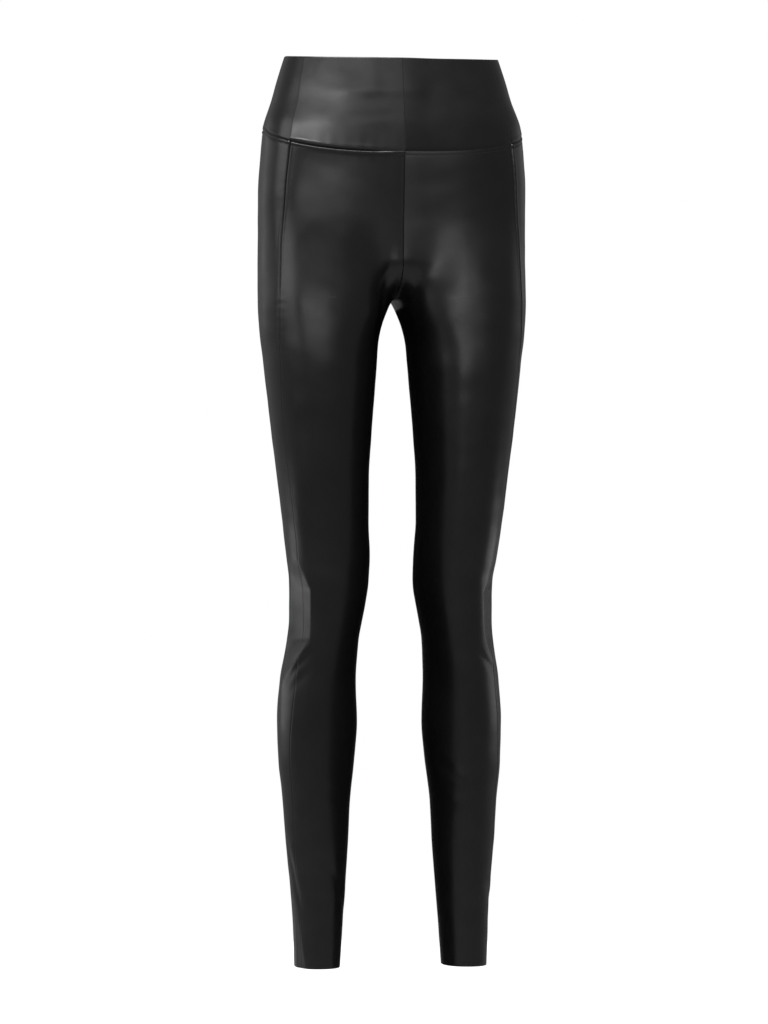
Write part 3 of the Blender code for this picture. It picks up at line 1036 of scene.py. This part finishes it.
@dataclass(frozen=True)
class Shell:
    """How a panel's grid becomes a thin closed wall with two faces."""

    thickness: float = 1.2
    lip_radius: float = 1.15
    inner_lip: float = 0.8
    hem_turn: float = 20.0
    hem_step: float = 1.2
    hem_ply: float = 0.9

    def lip(self, distance: Array) -> Array:
        """How far both faces round inward at a folded edge."""
        short = np.clip(1.0 - distance / self.lip_radius, 0.0, 1.0)
        return self.lip_radius * (1.0 - np.sqrt(1.0 - short**2))

    def wall(self, to_edge: Array) -> Array:
        """Thickness of the wall, two-ply where the cloth is turned up at an edge."""
        turned = 1.0 - smoothstep(self.hem_turn, self.hem_turn + self.hem_step, to_edge)
        return self.thickness + self.hem_ply * turned

    def faces(self, cloth: Cloth, height: Array) -> tuple[Array, Array]:
        """The outer and inner face of a panel.

        Args:
            cloth: The panel's grid.
            height: How far its relief stands proud of the form.

        Returns:
            Two grids of points.
        """
        lip = self.lip(cloth.to_edge)[..., None]
        wall = self.wall(cloth.to_edge)[..., None]
        outer = cloth.points + cloth.normals * (height[..., None] - lip)
        inner = cloth.points + cloth.normals * (height[..., None] - wall + lip * self.inner_lip)
        return outer, inner

    def mesh(self, name: str, outer: Array, inner: Array, uv: tuple[Array, Array],
             finishes: Sequence[bpy.types.Material], mirrored: bool) -> bpy.types.Object:
        """Close the two faces into one object, backing on the inner one.

        Args:
            name: The object's name.
            outer: Grid of the coated face.
            inner: Grid of the backing.
            uv: Distance round and along the panel at each point.
            finishes: The coated face's material, then the backing's.
            mirrored: Whether the grid is the other side's, to be turned over.

        Returns:
            The panel, linked to the scene.
        """
        rows, columns = outer.shape[:2]
        size = rows * columns
        verts = np.concatenate([outer.reshape(-1, 3), inner.reshape(-1, 3)]) * MM
        index = np.arange(size).reshape(rows, columns)
        a, b = index[:-1, :-1].ravel(), index[:-1, 1:].ravel()
        d, c = index[1:, :-1].ravel(), index[1:, 1:].ravel()
        coated = np.column_stack([a, d, c, b])
        backing = np.column_stack([a, b, c, d]) + size
        border = np.concatenate([index[0, :], index[1:, -1], index[-1, -2::-1],
                                 index[-2:0:-1, 0]])
        after = np.roll(border, -1)
        edge = np.column_stack([border, after, after + size, border + size])
        faces = np.concatenate([coated, edge, backing])
        if mirrored:
            verts[:, 0] *= -1.0
            faces = faces[:, ::-1]
        mesh = bpy.data.meshes.new(name)
        mesh.from_pydata(verts.tolist(), [], faces.tolist())
        layer = mesh.uv_layers.new(name="cloth")
        flat = np.column_stack([np.tile(axis.ravel() * MM, 2) for axis in uv])
        layer.data.foreach_set("uv", flat[faces.ravel()].astype(np.float32).ravel())
        for finish in finishes:
            mesh.materials.append(finish)
        slots = np.zeros(len(faces), dtype=np.int32)
        slots[len(coated) + len(edge):] = 1
        mesh.polygons.foreach_set("material_index", slots)
        # The cut edges are flat, so that they don't tint the faces beside them
        smooth = np.ones(len(faces), dtype=bool)
        smooth[len(coated):len(coated) + len(edge)] = False
        mesh.polygons.foreach_set("use_smooth", smooth)
        return put(mesh)


# ------------------------------------------------------------------------------ finishes


def linear(hex_colour: str) -> tuple[float, float, float, float]:
    """Turn an sRGB hex colour to linear light.

    Args:
        hex_colour: The colour, such as "#121213".

    Returns:
        Blender's linear RGBA.
    """
    channels = [int(hex_colour[i:i + 2], 16) / 255.0 for i in (1, 3, 5)]
    rgb = [c / 12.92 if c <= 0.04045 else ((c + 0.055) / 1.055) ** 2.4 for c in channels]
    return rgb[0], rgb[1], rgb[2], 1.0


def add_node(tree: bpy.types.NodeTree, kind: str, inputs: dict[Any, Any] | None = None,
             **settings: Any) -> bpy.types.Node:
    """Add a node with its settings, and fill or link its inputs.

    Args:
        tree: The tree that gets the node.
        kind: Blender's name for the node's type.
        inputs: For each input, by name or number, a value, an output socket, or a node
            that gives its first output.
        **settings: Properties of the node itself.

    Returns:
        The node.
    """
    node = tree.nodes.new(kind)
    for name, value in settings.items():
        setattr(node, name, value)
    for key, value in (inputs or {}).items():
        value = value.outputs[0] if isinstance(value, bpy.types.Node) else value
        if isinstance(value, bpy.types.NodeSocket):
            tree.links.new(value, node.inputs[key])
        else:
            node.inputs[key].default_value = value
    return node


@dataclass(frozen=True)
class Finish:
    """What every finish has: a name, a colour and a roughness."""

    name: str
    colour: str
    roughness: float

    def dress(self, tree: bpy.types.NodeTree, shader: Any) -> None:
        """Add what is this finish's own to its nodes."""
        raise NotImplementedError

    def material(self) -> bpy.types.Material:
        """Build the finish's material on a Principled shader.

        Returns:
            The material.
        """
        material = bpy.data.materials.new(self.name)
        material.use_nodes = True
        tree = material.node_tree
        shader = tree.nodes["Principled BSDF"].inputs
        shader["Base Color"].default_value = linear(self.colour)
        shader["Roughness"].default_value = self.roughness
        self.dress(tree, shader)
        return material


@dataclass(frozen=True)
class FauxLeather(Finish):
    """Knit cloth with a smooth polyurethane coat, pressed with a very fine grain.

    To the eye it is near black with a satin gloss: broad soft highlights whose edges
    waver a little where the coat is more or less polished.
    """

    name: str = "polyurethane coated faux leather"
    colour: str = "#121213"
    roughness: float = 0.33
    roughness_spread: float = 0.05
    ior: float = 1.5
    polish_patch_mm: float = 38.0
    pebble_mm: float = 0.9
    pebble_height_mm: float = 0.012
    ripple_mm: float = 5.5
    ripple_height_mm: float = 0.010

    def dress(self, tree: bpy.types.NodeTree, shader: Any) -> None:
        """Add a polish that wavers and a fine pressed grain.

        Args:
            tree: The material's nodes.
            shader: The inputs of its shader.
        """
        shader["IOR"].default_value = self.ior
        place = add_node(tree, "ShaderNodeTexCoord").outputs["Object"]
        polish = add_node(tree, "ShaderNodeTexNoise", {
            "Vector": place, "Scale": 1.0 / (self.polish_patch_mm * MM), "Detail": 3.0,
            "Roughness": 0.55})
        roughness = add_node(tree, "ShaderNodeMapRange", {
            # Nearly all of the noise lies between these two
            "Value": polish, "From Min": 0.3, "From Max": 0.7,
            "To Min": self.roughness - self.roughness_spread,
            "To Max": self.roughness + self.roughness_spread})
        tree.links.new(roughness.outputs["Result"], shader["Roughness"])
        pebble = add_node(tree, "ShaderNodeTexVoronoi", {
            "Vector": place, "Scale": 1.0 / (self.pebble_mm * MM), "Smoothness": 0.6},
            feature="SMOOTH_F1")
        ripple = add_node(tree, "ShaderNodeTexNoise", {
            "Vector": place, "Scale": 1.0 / (self.ripple_mm * MM), "Detail": 2.0})
        soft = add_node(tree, "ShaderNodeBump", {
            "Height": ripple, "Distance": self.ripple_height_mm * MM})
        grain = add_node(tree, "ShaderNodeBump", {
            "Height": pebble, "Normal": soft, "Distance": self.pebble_height_mm * MM})
        tree.links.new(grain.outputs["Normal"], shader["Normal"])


@dataclass(frozen=True)
class KnitBacking(Finish):
    """Brushed polyester knit, the coat's backing: matt charcoal with fine wales, their furrows
    tinted darker as painted shade.

    The wales are drawn coarser than the real 0.5 mm so that they show.
    """

    name: str = "brushed polyester knit backing"
    colour: str = "#242426"
    painted_furrow_shade: str = "#151517"
    roughness: float = 0.92
    sheen: float = 0.25
    wale_mm: float = 1.4
    wale_height_mm: float = 0.15

    def dress(self, tree: bpy.types.NodeTree, shader: Any) -> None:
        """Add the wales, with painted shade that darkens their furrows.

        Args:
            tree: The material's nodes.
            shader: The inputs of its shader.
        """
        shader["Sheen Weight"].default_value = self.sheen
        place = add_node(tree, "ShaderNodeUVMap", uv_map="cloth")
        wales = add_node(tree, "ShaderNodeTexWave", {
            "Vector": place, "Scale": WAVE_SCALE / (self.wale_mm * MM), "Distortion": 1.2,
            "Detail": 2.0, "Detail Scale": 1.5}, bands_direction="X")
        # Painted shade: the colour darkens toward each furrow, following the same waves as the bump
        colour = add_node(tree, "ShaderNodeMix", {
            "Factor": wales.outputs["Fac"], "A": linear(self.painted_furrow_shade),
            "B": linear(self.colour)}, data_type="RGBA")
        bump = add_node(tree, "ShaderNodeBump", {
            "Height": wales.outputs["Fac"], "Distance": self.wale_height_mm * MM})
        tree.links.new(colour.outputs["Result"], shader["Base Color"])
        tree.links.new(bump.outputs["Normal"], shader["Normal"])


@dataclass(frozen=True)
class SewingThread(Finish):
    """Spun polyester sewing thread: black, with the dull gloss of twisted plies."""

    name: str = "spun polyester sewing thread"
    colour: str = "#0d0d0e"
    roughness: float = 0.55
    twist_mm: float = 0.5
    twist_height_mm: float = 0.05

    def dress(self, tree: bpy.types.NodeTree, shader: Any) -> None:
        """Add the twist of the plies.

        Args:
            tree: The material's nodes.
            shader: The inputs of its shader.
        """
        place = add_node(tree, "ShaderNodeTexCoord").outputs["Object"]
        twist = add_node(tree, "ShaderNodeTexWave", {
            "Vector": place, "Scale": WAVE_SCALE / (self.twist_mm * MM), "Distortion": 0.4},
            bands_direction="DIAGONAL")
        bump = add_node(tree, "ShaderNodeBump", {
            "Height": twist.outputs["Fac"], "Distance": self.twist_height_mm * MM})
        tree.links.new(bump.outputs["Normal"], shader["Normal"])


@dataclass(frozen=True)
class LightTable(Finish):
    """White acrylic floor, matt and faintly mottled, lit from below for the camera."""

    name: str = "white opal acrylic"
    colour: str = "#b4b4b3"
    shade: str = "#aeaead"
    roughness: float = 0.9
    mottle_m: float = 0.35
    glow: float = 0.9

    def dress(self, tree: bpy.types.NodeTree, shader: Any) -> None:
        """Add the mottling, and the glow that only the camera sees.

        Args:
            tree: The material's nodes.
            shader: The inputs of its shader.
        """
        shader["Emission Color"].default_value = (1.0, 1.0, 1.0, 1.0)
        place = add_node(tree, "ShaderNodeTexCoord").outputs["Object"]
        mottle = add_node(tree, "ShaderNodeTexNoise", {
            "Vector": place, "Scale": 1.0 / self.mottle_m})
        colour = add_node(tree, "ShaderNodeMix", {
            "Factor": mottle, "A": linear(self.colour), "B": linear(self.shade)},
            data_type="RGBA")
        seen = add_node(tree, "ShaderNodeLightPath").outputs["Is Camera Ray"]
        glow = add_node(tree, "ShaderNodeMath", {0: seen, 1: self.glow}, operation="MULTIPLY")
        tree.links.new(colour.outputs["Result"], shader["Base Color"])
        tree.links.new(glow.outputs[0], shader["Emission Strength"])


@dataclass(frozen=True)
class FlagCard(Finish):
    """Dark grey card of a studio flag, which gives back little light."""

    name: str = "dark grey flag card"
    colour: str = "#5e5e5e"
    roughness: float = 1.0

    def dress(self, tree: bpy.types.NodeTree, shader: Any) -> None:
        """Take the gloss away, which card hardly has."""
        shader["Specular IOR Level"].default_value = 0.0


# ------------------------------------------------------------------------ sub-assemblies


@dataclass
class Panels:
    """The seven panels: two waistband fronts, its back, and each leg's front and back."""

    form: LeggingsForm
    leather: bpy.types.Material
    backing: bpy.types.Material
    held: str = "stretched"
    cutter: PanelCutter = field(init=False)
    relief: ClothRelief = field(init=False)
    shell: Shell = Shell()
    stitch_lines: dict[str, tuple[Array, Array]] = field(default_factory=dict)

    def __post_init__(self) -> None:
        """Make ready to cut the panels."""
        self.cutter = PanelCutter(self.form)
        self.relief = ClothRelief(self.form)

    def _declare(self, panel: bpy.types.Object, node: str, width: float, length: float,
                 area: float) -> None:
        """Attach the panel to the garment's body, hide the solid that it replaces, and log its cut.

        Args:
            panel: The panel's object.
            node: The solid that it replaces.
            width: Its greatest width, in millimetres.
            length: Its greatest length.
            area: Its area, in square millimetres.
        """
        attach(panel, "root")
        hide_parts(node)
        log.info("%s: cut %.0f x %.0f mm, %.4f square metres", node, width, length,
                 area * MM * MM)

    @staticmethod
    def _cut_size(cloth: Cloth) -> tuple[float, float, float]:
        """Measure the cut of a panel along its cloth.

        Args:
            cloth: The panel's grid.

        Returns:
            Its greatest width, its greatest length and its area, in millimetres.
        """
        across, down = np.diff(cloth.points, axis=1), np.diff(cloth.points, axis=0)
        area = np.linalg.norm(np.cross(down[:, :-1], across[:-1]), axis=-1).sum()
        width, length = np.linalg.norm(across, axis=-1), np.linalg.norm(down, axis=-1)
        return float(width.sum(1).max()), float(length.sum(0).max()), float(area)

    def _panel(self, node: str, cloth: Cloth, side: Side) -> None:
        """Build one panel of one side, and note where its topstitching runs.

        Args:
            node: The solid that it replaces.
            cloth: Its grid.
            side: The wearer's side.
        """
        outer, inner = self.shell.faces(cloth, self.relief.height(cloth, side))
        panel = self.shell.mesh(f"cloth_{node}", outer, inner, (cloth.around, cloth.z),
                                (self.leather, self.backing), side is Side.RIGHT)
        self._declare(panel, node, *self._cut_size(cloth))
        if not cloth.band:
            row = self.cutter.seam_steps.index(self.relief.topstitch_from_seam)
            self.stitch_lines[node] = (outer[row] * side.turn, cloth.normals[row] * side.turn)

    def _back_band(self, cloth: Cloth) -> None:
        """Build the waistband's back, in one piece round the centre back.

        Args:
            cloth: The grid of its left half.
        """
        halves = []
        for side in (Side.LEFT, Side.RIGHT):
            grids = self.shell.faces(cloth, self.relief.height(cloth, side))
            halves.append([grid * side.turn for grid in grids])
        # Both halves end on the centre back line, and share that column
        outer, inner = (np.concatenate([left, right[:, -2::-1]], axis=1)
                        for left, right in zip(*halves))
        uv = (np.concatenate([-cloth.to_centre, cloth.to_centre[:, -2::-1]], axis=1),
              np.concatenate([cloth.z, cloth.z[:, -2::-1]], axis=1))
        panel = self.shell.mesh("cloth_waistband_back", outer, inner, uv,
                                (self.leather, self.backing), False)
        width, length, area = self._cut_size(cloth)
        self._declare(panel, "waistband_back", 2.0 * width, length, 2.0 * area)

    def build(self) -> None:
        """Cut, shape and attach every panel, hiding the solids that they replace."""
        front_band, back_band = self.cutter.band(End.FRONT), self.cutter.band(End.BACK)
        front_leg, back_leg = self.cutter.leg(End.FRONT), self.cutter.leg(End.BACK)
        for side in Side:
            name = side.name.lower()
            self._panel(f"waistband_front_{name}", front_band, side)
            self._panel(f"leg_front_{name}", front_leg, side)
            self._panel(f"leg_back_{name}", back_leg, side)
        self._back_band(back_band)


@dataclass
class Topstitching:
    """One row of lockstitch under the yoke seam, on each leg panel."""

    thread: bpy.types.Material
    pitch: float = 3.2
    stitch_length: float = 2.5
    thread_radius: float = 0.24
    thread_sides: int = 6
    arch: float = 0.22
    arch_steps: int = 5
    sink: float = 0.18
    wander_deg: float = 3.0
    seed: int = 7

    def _tree(self) -> bpy.types.NodeTree:
        """Build the tree that sews a line of stitches along a path.

        Returns:
            The tree, with its sizes, seed and thread as named inputs.
        """
        tree = bpy.data.node_groups.new("lockstitch", "GeometryNodeTree")
        face = tree.interface
        face.new_socket("Path", in_out="INPUT", socket_type="NodeSocketGeometry")
        for name in ("Pitch", "Stitch Length", "Thread Radius", "Arch", "Sink", "Wander"):
            face.new_socket(name, in_out="INPUT", socket_type="NodeSocketFloat")
        face.new_socket("Seed", in_out="INPUT", socket_type="NodeSocketInt")
        face.new_socket("Thread", in_out="INPUT", socket_type="NodeSocketMaterial")
        face.new_socket("Stitches", in_out="OUTPUT", socket_type="NodeSocketGeometry")
        given = add_node(tree, "NodeGroupInput").outputs

        half = add_node(tree, "ShaderNodeMath", {
            0: given["Stitch Length"], 1: 0.5}, operation="MULTIPLY")
        back, down, low = (
            add_node(tree, "ShaderNodeMath", {0: value, 1: -1.0}, operation="MULTIPLY")
            for value in (half, given["Sink"], given["Wander"]))
        enter = add_node(tree, "ShaderNodeCombineXYZ", {"X": back, "Z": down})
        leave = add_node(tree, "ShaderNodeCombineXYZ", {"X": half, "Z": down})
        crown = add_node(tree, "ShaderNodeCombineXYZ", {"Z": given["Arch"]})
        bend = add_node(tree, "GeometryNodeCurveQuadraticBezier", {
            "Resolution": self.arch_steps, "Start": enter, "Middle": crown, "End": leave})
        ring = add_node(tree, "GeometryNodeCurvePrimitiveCircle", {
            "Resolution": self.thread_sides, "Radius": given["Thread Radius"]})
        stitch = add_node(tree, "GeometryNodeCurveToMesh", {
            "Curve": bend, "Profile Curve": ring, "Fill Caps": True})

        path = add_node(tree, "GeometryNodeMeshToCurve", {"Mesh": given["Path"]})
        steps = add_node(tree, "GeometryNodeResampleCurve", {
            "Curve": path, "Length": given["Pitch"]}, mode="LENGTH")
        outward = add_node(tree, "GeometryNodeInputNamedAttribute", {"Name": "outward"},
                           data_type="FLOAT_VECTOR")
        tangent = add_node(tree, "GeometryNodeInputTangent")
        facing = add_node(tree, "FunctionNodeAlignRotationToVector", {
            "Vector": outward}, axis="Z")
        lying = add_node(tree, "FunctionNodeAlignRotationToVector", {
            "Rotation": facing, "Vector": tangent}, axis="X", pivot_axis="Z")
        wander = add_node(tree, "FunctionNodeRandomValue", {
            "Min": low, "Max": given["Wander"], "Seed": given["Seed"]}, data_type="FLOAT")
        yaw = add_node(tree, "FunctionNodeAxisAngleToRotation", {
            "Axis": (0.0, 0.0, 1.0), "Angle": wander.outputs["Value"]})
        turned = add_node(tree, "FunctionNodeRotateRotation", {
            "Rotation": lying, "Rotate By": yaw}, rotation_space="LOCAL")
        sewn = add_node(tree, "GeometryNodeInstanceOnPoints", {
            "Points": steps, "Instance": stitch, "Rotation": turned})
        real = add_node(tree, "GeometryNodeRealizeInstances", {"Geometry": sewn})
        dressed = add_node(tree, "GeometryNodeSetMaterial", {
            "Geometry": real, "Material": given["Thread"]})
        add_node(tree, "NodeGroupOutput", {"Stitches": dressed})
        return tree

    @staticmethod
    def _path(name: str, points: Array, normals: Array) -> bpy.types.Object:
        """Make a chain of edges that carries the cloth's outward direction.

        Args:
            name: The path's name.
            points: Its points, in millimetres.
            normals: The outward direction at each.

        Returns:
            The path, linked to the scene.
        """
        mesh = bpy.data.meshes.new(name)
        edges = [(i, i + 1) for i in range(len(points) - 1)]
        mesh.from_pydata((points * MM).tolist(), edges, [])
        outward = mesh.attributes.new("outward", "FLOAT_VECTOR", "POINT")
        outward.data.foreach_set("vector", normals.astype(np.float32).ravel())
        return put(mesh)

    def build(self, lines: dict[str, tuple[Array, Array]]) -> None:
        """Sew each line.

        Args:
            lines: For each node, the line's points and the cloth's outward directions.
        """
        tree = self._tree()
        values = {
            "Pitch": self.pitch * MM, "Stitch Length": self.stitch_length * MM,
            "Thread Radius": self.thread_radius * MM, "Arch": self.arch * MM,
            "Sink": self.sink * MM, "Wander": math.radians(self.wander_deg),
            "Seed": self.seed, "Thread": self.thread,
        }
        sockets = {item.name: item.identifier for item in tree.interface.items_tree
                   if item.in_out == "INPUT"}
        for node, (points, normals) in lines.items():
            path = self._path(f"path_{node}", points, normals)
            modifier = path.modifiers.new("sew", "NODES")
            modifier.node_group = tree
            for name, value in values.items():
                modifier[sockets[name]] = value
            sewn = path.evaluated_get(bpy.context.evaluated_depsgraph_get())
            mesh = bpy.data.meshes.new_from_object(sewn)
            bpy.data.objects.remove(path, do_unlink=True)
            mesh.name = f"topstitch_{node}"
            mesh.shade_smooth()
            row = put(mesh)
            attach(row, "root")
            log.info("%s: %d faces", row.name, len(mesh.polygons))


# -------------------------------------------------------------------------------- studio


@dataclass(frozen=True)
class Softbox:
    """A soft rectangular light: sizes in metres, azimuth from the camera's side."""

    name: str
    azimuth_deg: float
    height: float
    aim_height: float
    distance: float
    width: float
    tall: float
    radiance: float
    roll_deg: float = 0.0
    only: tuple[str, ...] = ()


LEFT_LEG = ("cloth_leg_front_left", "cloth_leg_back_left")
RIGHT_BAND = ("cloth_waistband_front_right",)
BAND_FRONTS = ("cloth_waistband_front_right", "cloth_waistband_front_left")
RIGHT_HALF = ("cloth_leg_front_right", "cloth_leg_back_right", "cloth_waistband_front_right")


@dataclass
class Studio:
    """Camera, floor and light, in metres."""

    opal: bpy.types.Material
    card: bpy.types.Material
    azimuth_deg: float = -11.0
    camera_distance: float = 5.5
    camera_height: float = -0.508
    camera_across: float = -0.0078
    mm_per_pixel: float = 1.118
    image_height_px: float = 1024.0
    sensor_mm: float = 36.0
    floor_level: float = -1.10
    floor_radius: float = 1.3
    floor_sides: int = 96
    flag_outline: tuple[tuple[float, float], ...] = (
        # Distance toward the camera and height: up the front edge, then round the crotch
        (-0.14, -1.05), (0.04, -1.05), (0.07, -0.90), (0.15, -0.815), (0.155, -0.745),
        (0.105, -0.69), (0.10, -0.61), (0.086, -0.54), (0.094, -0.42), (0.096, -0.33),
        (0.084, -0.295), (0.092, -0.236), (0.080, -0.236), (0.070, -0.274), (0.060, -0.293),
        (0.044, -0.279), (0.0, -0.284), (-0.14, -0.284))
    room_light: float = 0.20
    backdrop_light: float = 1.0
    softboxes: tuple[Softbox, ...] = (
        Softbox("key", -64.0, 0.32, -0.08, 1.6, 1.12, 1.10, 2.0),
        Softbox("kicker", -31.0, 0.50, -0.07, 1.95, 1.60, 0.28, 23.0, only=RIGHT_BAND),
        Softbox("top", -1.0, 0.98, -0.05, 1.95, 1.9, 0.62, 1.3, only=BAND_FRONTS),
        Softbox("overhead", -24.0, 1.80, -0.10, 0.60, 1.4, 0.90, 16.0),
        Softbox("fill", -13.0, -0.215, -0.20, 0.6, 0.47, 0.13, 2.0, only=RIGHT_HALF),
        Softbox("wash left", -122.0, 0.10, -0.10, 2.2, 2.0, 0.80, 0.35),
        Softbox("wash right", 122.0, 0.10, -0.10, 2.2, 2.0, 0.80, 0.25),
        Softbox("knee left", -110.0, -0.70, -0.68, 0.75, 0.45, 0.18, 1.15),
        Softbox("knee right", 110.0, -0.70, -0.68, 0.75, 0.45, 0.18, 1.0),
        Softbox("thigh", 8.0, -0.12, -0.12, 1.2, 0.24, 1.0, 2.9, -60.0, LEFT_LEG),
    )

    def _directions(self) -> tuple[Vector, Vector]:
        """The camera's level directions: to its right, and from the object to it."""
        a = math.radians(self.azimuth_deg)
        return Vector((math.cos(a), math.sin(a), 0.0)), Vector((math.sin(a), -math.cos(a), 0.0))

    def camera(self) -> None:
        """Place the camera at the photograph's angle and framing."""
        right, back = self._directions()
        data = bpy.data.cameras.new("camera")
        data.sensor_width = self.sensor_mm
        focal_px = self.camera_distance / (self.mm_per_pixel * MM)
        data.lens = self.sensor_mm * focal_px / self.image_height_px
        camera = put(data)
        camera.location = back * self.camera_distance + right * self.camera_across
        camera.location.z = self.camera_height
        camera.rotation_euler = (math.pi / 2.0, 0.0, math.radians(self.azimuth_deg))
        bpy.context.scene.camera = camera

    def light(self, box: Softbox) -> None:
        """Hang one softbox, and link it to the pieces that it is flagged down to.

        Args:
            box: Its place, size and strength.
        """
        right, back = self._directions()
        turn = math.radians(box.azimuth_deg)
        data = bpy.data.lights.new(box.name, "AREA")
        data.shape = "RECTANGLE"
        data.size, data.size_y = box.width, box.tall
        data.energy = box.radiance * math.pi * box.width * box.tall
        light = put(data)
        light.location = (back * math.cos(turn) + right * math.sin(turn)) * box.distance
        light.location.z = box.height
        aim = Vector((0.0, 0.0, box.aim_height)) - light.location
        facing = aim.to_track_quat("-Z", "Y") @ Quaternion((0, 0, 1), math.radians(box.roll_deg))
        light.rotation_euler = facing.to_euler()
        light.visible_camera = False
        if box.only:
            lit = bpy.data.collections.new(f"lit by {box.name}")
            for name in box.only:
                lit.objects.link(bpy.data.objects[name])
            light.light_linking.receiver_collection = lit

    def room(self) -> None:
        """Set the room's own light, with a white backdrop for the camera."""
        world = bpy.data.worlds.new("white studio")
        world.use_nodes = True
        tree = world.node_tree
        seen = add_node(tree, "ShaderNodeLightPath").outputs["Is Camera Ray"]
        strength = add_node(tree, "ShaderNodeMapRange", {
            "Value": seen, "To Min": self.room_light, "To Max": self.backdrop_light})
        background = tree.nodes["Background"]
        background.inputs["Color"].default_value = (1.0, 1.0, 1.0, 1.0)
        tree.links.new(strength.outputs["Result"], background.inputs["Strength"])
        bpy.context.scene.world = world
        bpy.context.scene.view_settings.view_transform = "Standard"

    @staticmethod
    def _board(name: str, corners: list[Any], finish: bpy.types.Material) -> bpy.types.Object:
        """Make a flat piece of the studio, which isn't part of the garment.

        Args:
            name: Its name.
            corners: Its corners in order, in metres.
            finish: Its material.

        Returns:
            The board, linked to the scene.
        """
        mesh = bpy.data.meshes.new(name)
        mesh.from_pydata([tuple(corner) for corner in corners], [], [tuple(range(len(corners)))])
        mesh.materials.append(finish)
        board = put(mesh)
        return board

    def floor(self) -> None:
        """Lay the floor, a round opal sheet under the hems."""
        turns = [2 * math.pi * i / self.floor_sides for i in range(self.floor_sides)]
        ring = [(self.floor_radius * math.cos(turn), self.floor_radius * math.sin(turn),
                 self.floor_level) for turn in turns]
        self._board("floor", ring, self.opal)

    def flag(self) -> None:
        """Stand a dark flag on edge between the legs, which shades their inner sides."""
        back = self._directions()[1]
        corners = [back * depth + Vector((0.0, 0.0, height)) for depth, height in self.flag_outline]
        self._board("flag", corners, self.card).visible_camera = False

    def build(self) -> None:
        """Set up the whole studio."""
        self.camera()
        self.room()
        self.floor()
        self.flag()
        for box in self.softboxes:
            self.light(box)


def main() -> None:
    """Load the frame, build every sub-assembly and note the sizes."""
    logging.basicConfig(level=logging.INFO, format="%(name)s: %(message)s")
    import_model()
    panels = Panels(LeggingsForm(), FauxLeather().material(), KnitBacking().material())
    panels.build()
    Topstitching(SewingThread().material()).build(panels.stitch_lines)
    Studio(LightTable().material(), FlagCard().material()).build()


if __name__ == "__main__":
    main()
